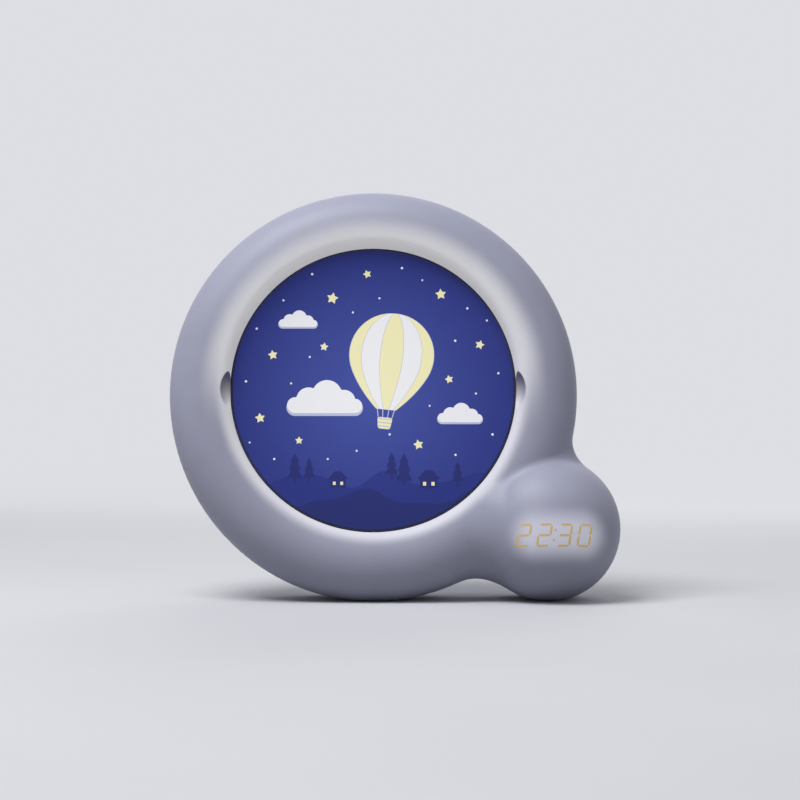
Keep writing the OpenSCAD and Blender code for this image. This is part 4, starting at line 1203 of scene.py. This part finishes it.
# The studio, in metres
studio = {
    "floorColour": "#E6E7EB",
    "floorShade": "#E3E4E9",
    "floorWidth": 7,
    "floorFront": -2.4,
    "floorBack": 1.9,
    "wallHeight": 2.6,
    "sweep": 0.9,
    "sweepSteps": 16,
    "roughness": 0.8,
    "mottle": 6,          # spots of the roller's mottle in a metre
    "tint": (0.3, 0.7),   # values of the noise between which the floor's colour goes from end to end
    "worldLight": 0.22,
    "farFrom": 0.45,      # from here on the board is seen as one pale tone
    "farTo": 1.3,
    "farColour": "#DDDEE3",
    "bounce": 0.4,        # share of its light that the board throws back on the clock
    "cameraDistance": 1.1,
    "cameraHeight": 0.0976,
    "cameraAim": 0.0028,
    "lens": 100.5,
    "lampAim": (0, 0, 0.1),
}
# Watts, size and place
lamps = {
    "keySoftbox": (16, 0.8, (-0.5, -0.5, 1.35)),
    "fillSoftbox": (1.4, 1.2, (1.2, -1.0, 0.9)),
    "backSoftbox": (10, 1.2, (0.3, 1.4, 0.65)),
}
deselectAll()
bpy.ops.mesh.primitive_plane_add(size=1)
floor = named("studioSweep")
for corner in floor.data.vertices:
    corner.co.x *= studio["floorWidth"]
    corner.co.y = studio["floorFront"] if corner.co.y < 0 else studio["floorBack"]
editAll("DESELECT")
leaveEdit()
for edge in floor.data.edges:
    edge.select = min(floor.data.vertices[i].co.y for i in edge.vertices) > 0
bpy.ops.object.mode_set(mode="EDIT")
bpy.ops.mesh.select_mode(type="EDGE")
bpy.ops.mesh.extrude_region_move(TRANSFORM_OT_translate={"value": (0, 0, studio["wallHeight"])})
leaveEdit()
for edge in floor.data.edges:
    ends = [floor.data.vertices[i].co for i in edge.vertices]
    edge.select = all(end.y > 0 and end.z < 0.01 for end in ends)
bpy.ops.object.mode_set(mode="EDIT")
bpy.ops.mesh.bevel(offset=studio["sweep"], segments=studio["sweepSteps"], affect="EDGES")
leaveEdit()
smooth(floor, 60)


# One for what the eye meets, straight on, in a reflection or through glass, and nothing for the lamps
def seenOnly(tree):
    path = addNode(tree, "LightPath").outputs
    seen = addNode(tree, "Math", (path["Is Camera Ray"], path["Is Glossy Ray"]), "MAXIMUM")
    return addNode(tree, "Math", (seen, path["Is Transmission Ray"]), "MAXIMUM")


# Matt painted board: white paint with the faint mottle of a roller. Far from the lamps it is seen in
# one pale tone, which shines on nothing
def paintedBoard():
    material, tree, shader, place = startMaterial("Painted_board", Roughness=studio["roughness"])
    mottle = addNode(tree, "TexNoise", {"Vector": place, "Scale": studio["mottle"], "Detail": 3})
    colour = addNode(tree, "ValToRGB", (mottle,), stops=list(zip(
        studio["tint"], (studio["floorShade"], studio["floorColour"]))))
    seen = seenOnly(tree)
    share = addNode(tree, "MapRange", (seen, 0, 1, studio["bounce"], 1))
    colour = addNode(tree, "VectorMath", {0: colour, "Scale": share}, "SCALE")
    setInputs(shader, {"Base Color": colour})
    away = addNode(tree, "VectorMath", (place,), "LENGTH").outputs["Value"]
    far = addNode(tree, "MapRange", (away, studio["farFrom"], studio["farTo"]), **smoothly)
    far = addNode(tree, "Math", (far, seen), "MULTIPLY")
    tone = addNode(tree, "Emission", {"Color": linear(studio["farColour"])})
    setInputs(tree.nodes["Material Output"], {"Surface": addNode(tree, "MixShader", (far, shader, tone))})
    return material


floor.data.materials.append(paintedBoard())

for name, (energy, size, place) in lamps.items():
    bpy.ops.object.light_add(type="AREA", location=place)
    lamp = bpy.context.object
    lamp.name = name
    lamp.data.energy = energy
    lamp.data.size = size
    lamp.rotation_euler = (Vector(studio["lampAim"]) - Vector(place)).to_track_quat("-Z", "Y").to_euler()
# The back one is left out of reflections, or it draws a hard glint along the ring's upper edge
lamp.visible_glossy = False

world = bpy.data.worlds.new("Studio")
bpy.context.scene.world = world
world.use_nodes = True
tree = world.node_tree
setInputs(tree.nodes["Background"], {
    "Color": linear(studio["farColour"]),
    "Strength": addNode(tree, "MapRange", (seenOnly(tree), 0, 1, studio["worldLight"], 1))})

bpy.ops.object.camera_add(
    location=(studio["cameraAim"], -studio["cameraDistance"], studio["cameraHeight"]),
    rotation=(math.pi / 2, 0, 0))
camera = bpy.context.object
camera.data.lens = studio["lens"]
camera.data.clip_start = 0.02
bpy.context.scene.camera = camera
bpy.context.scene.view_settings.view_transform = "Standard"
print("studio made")
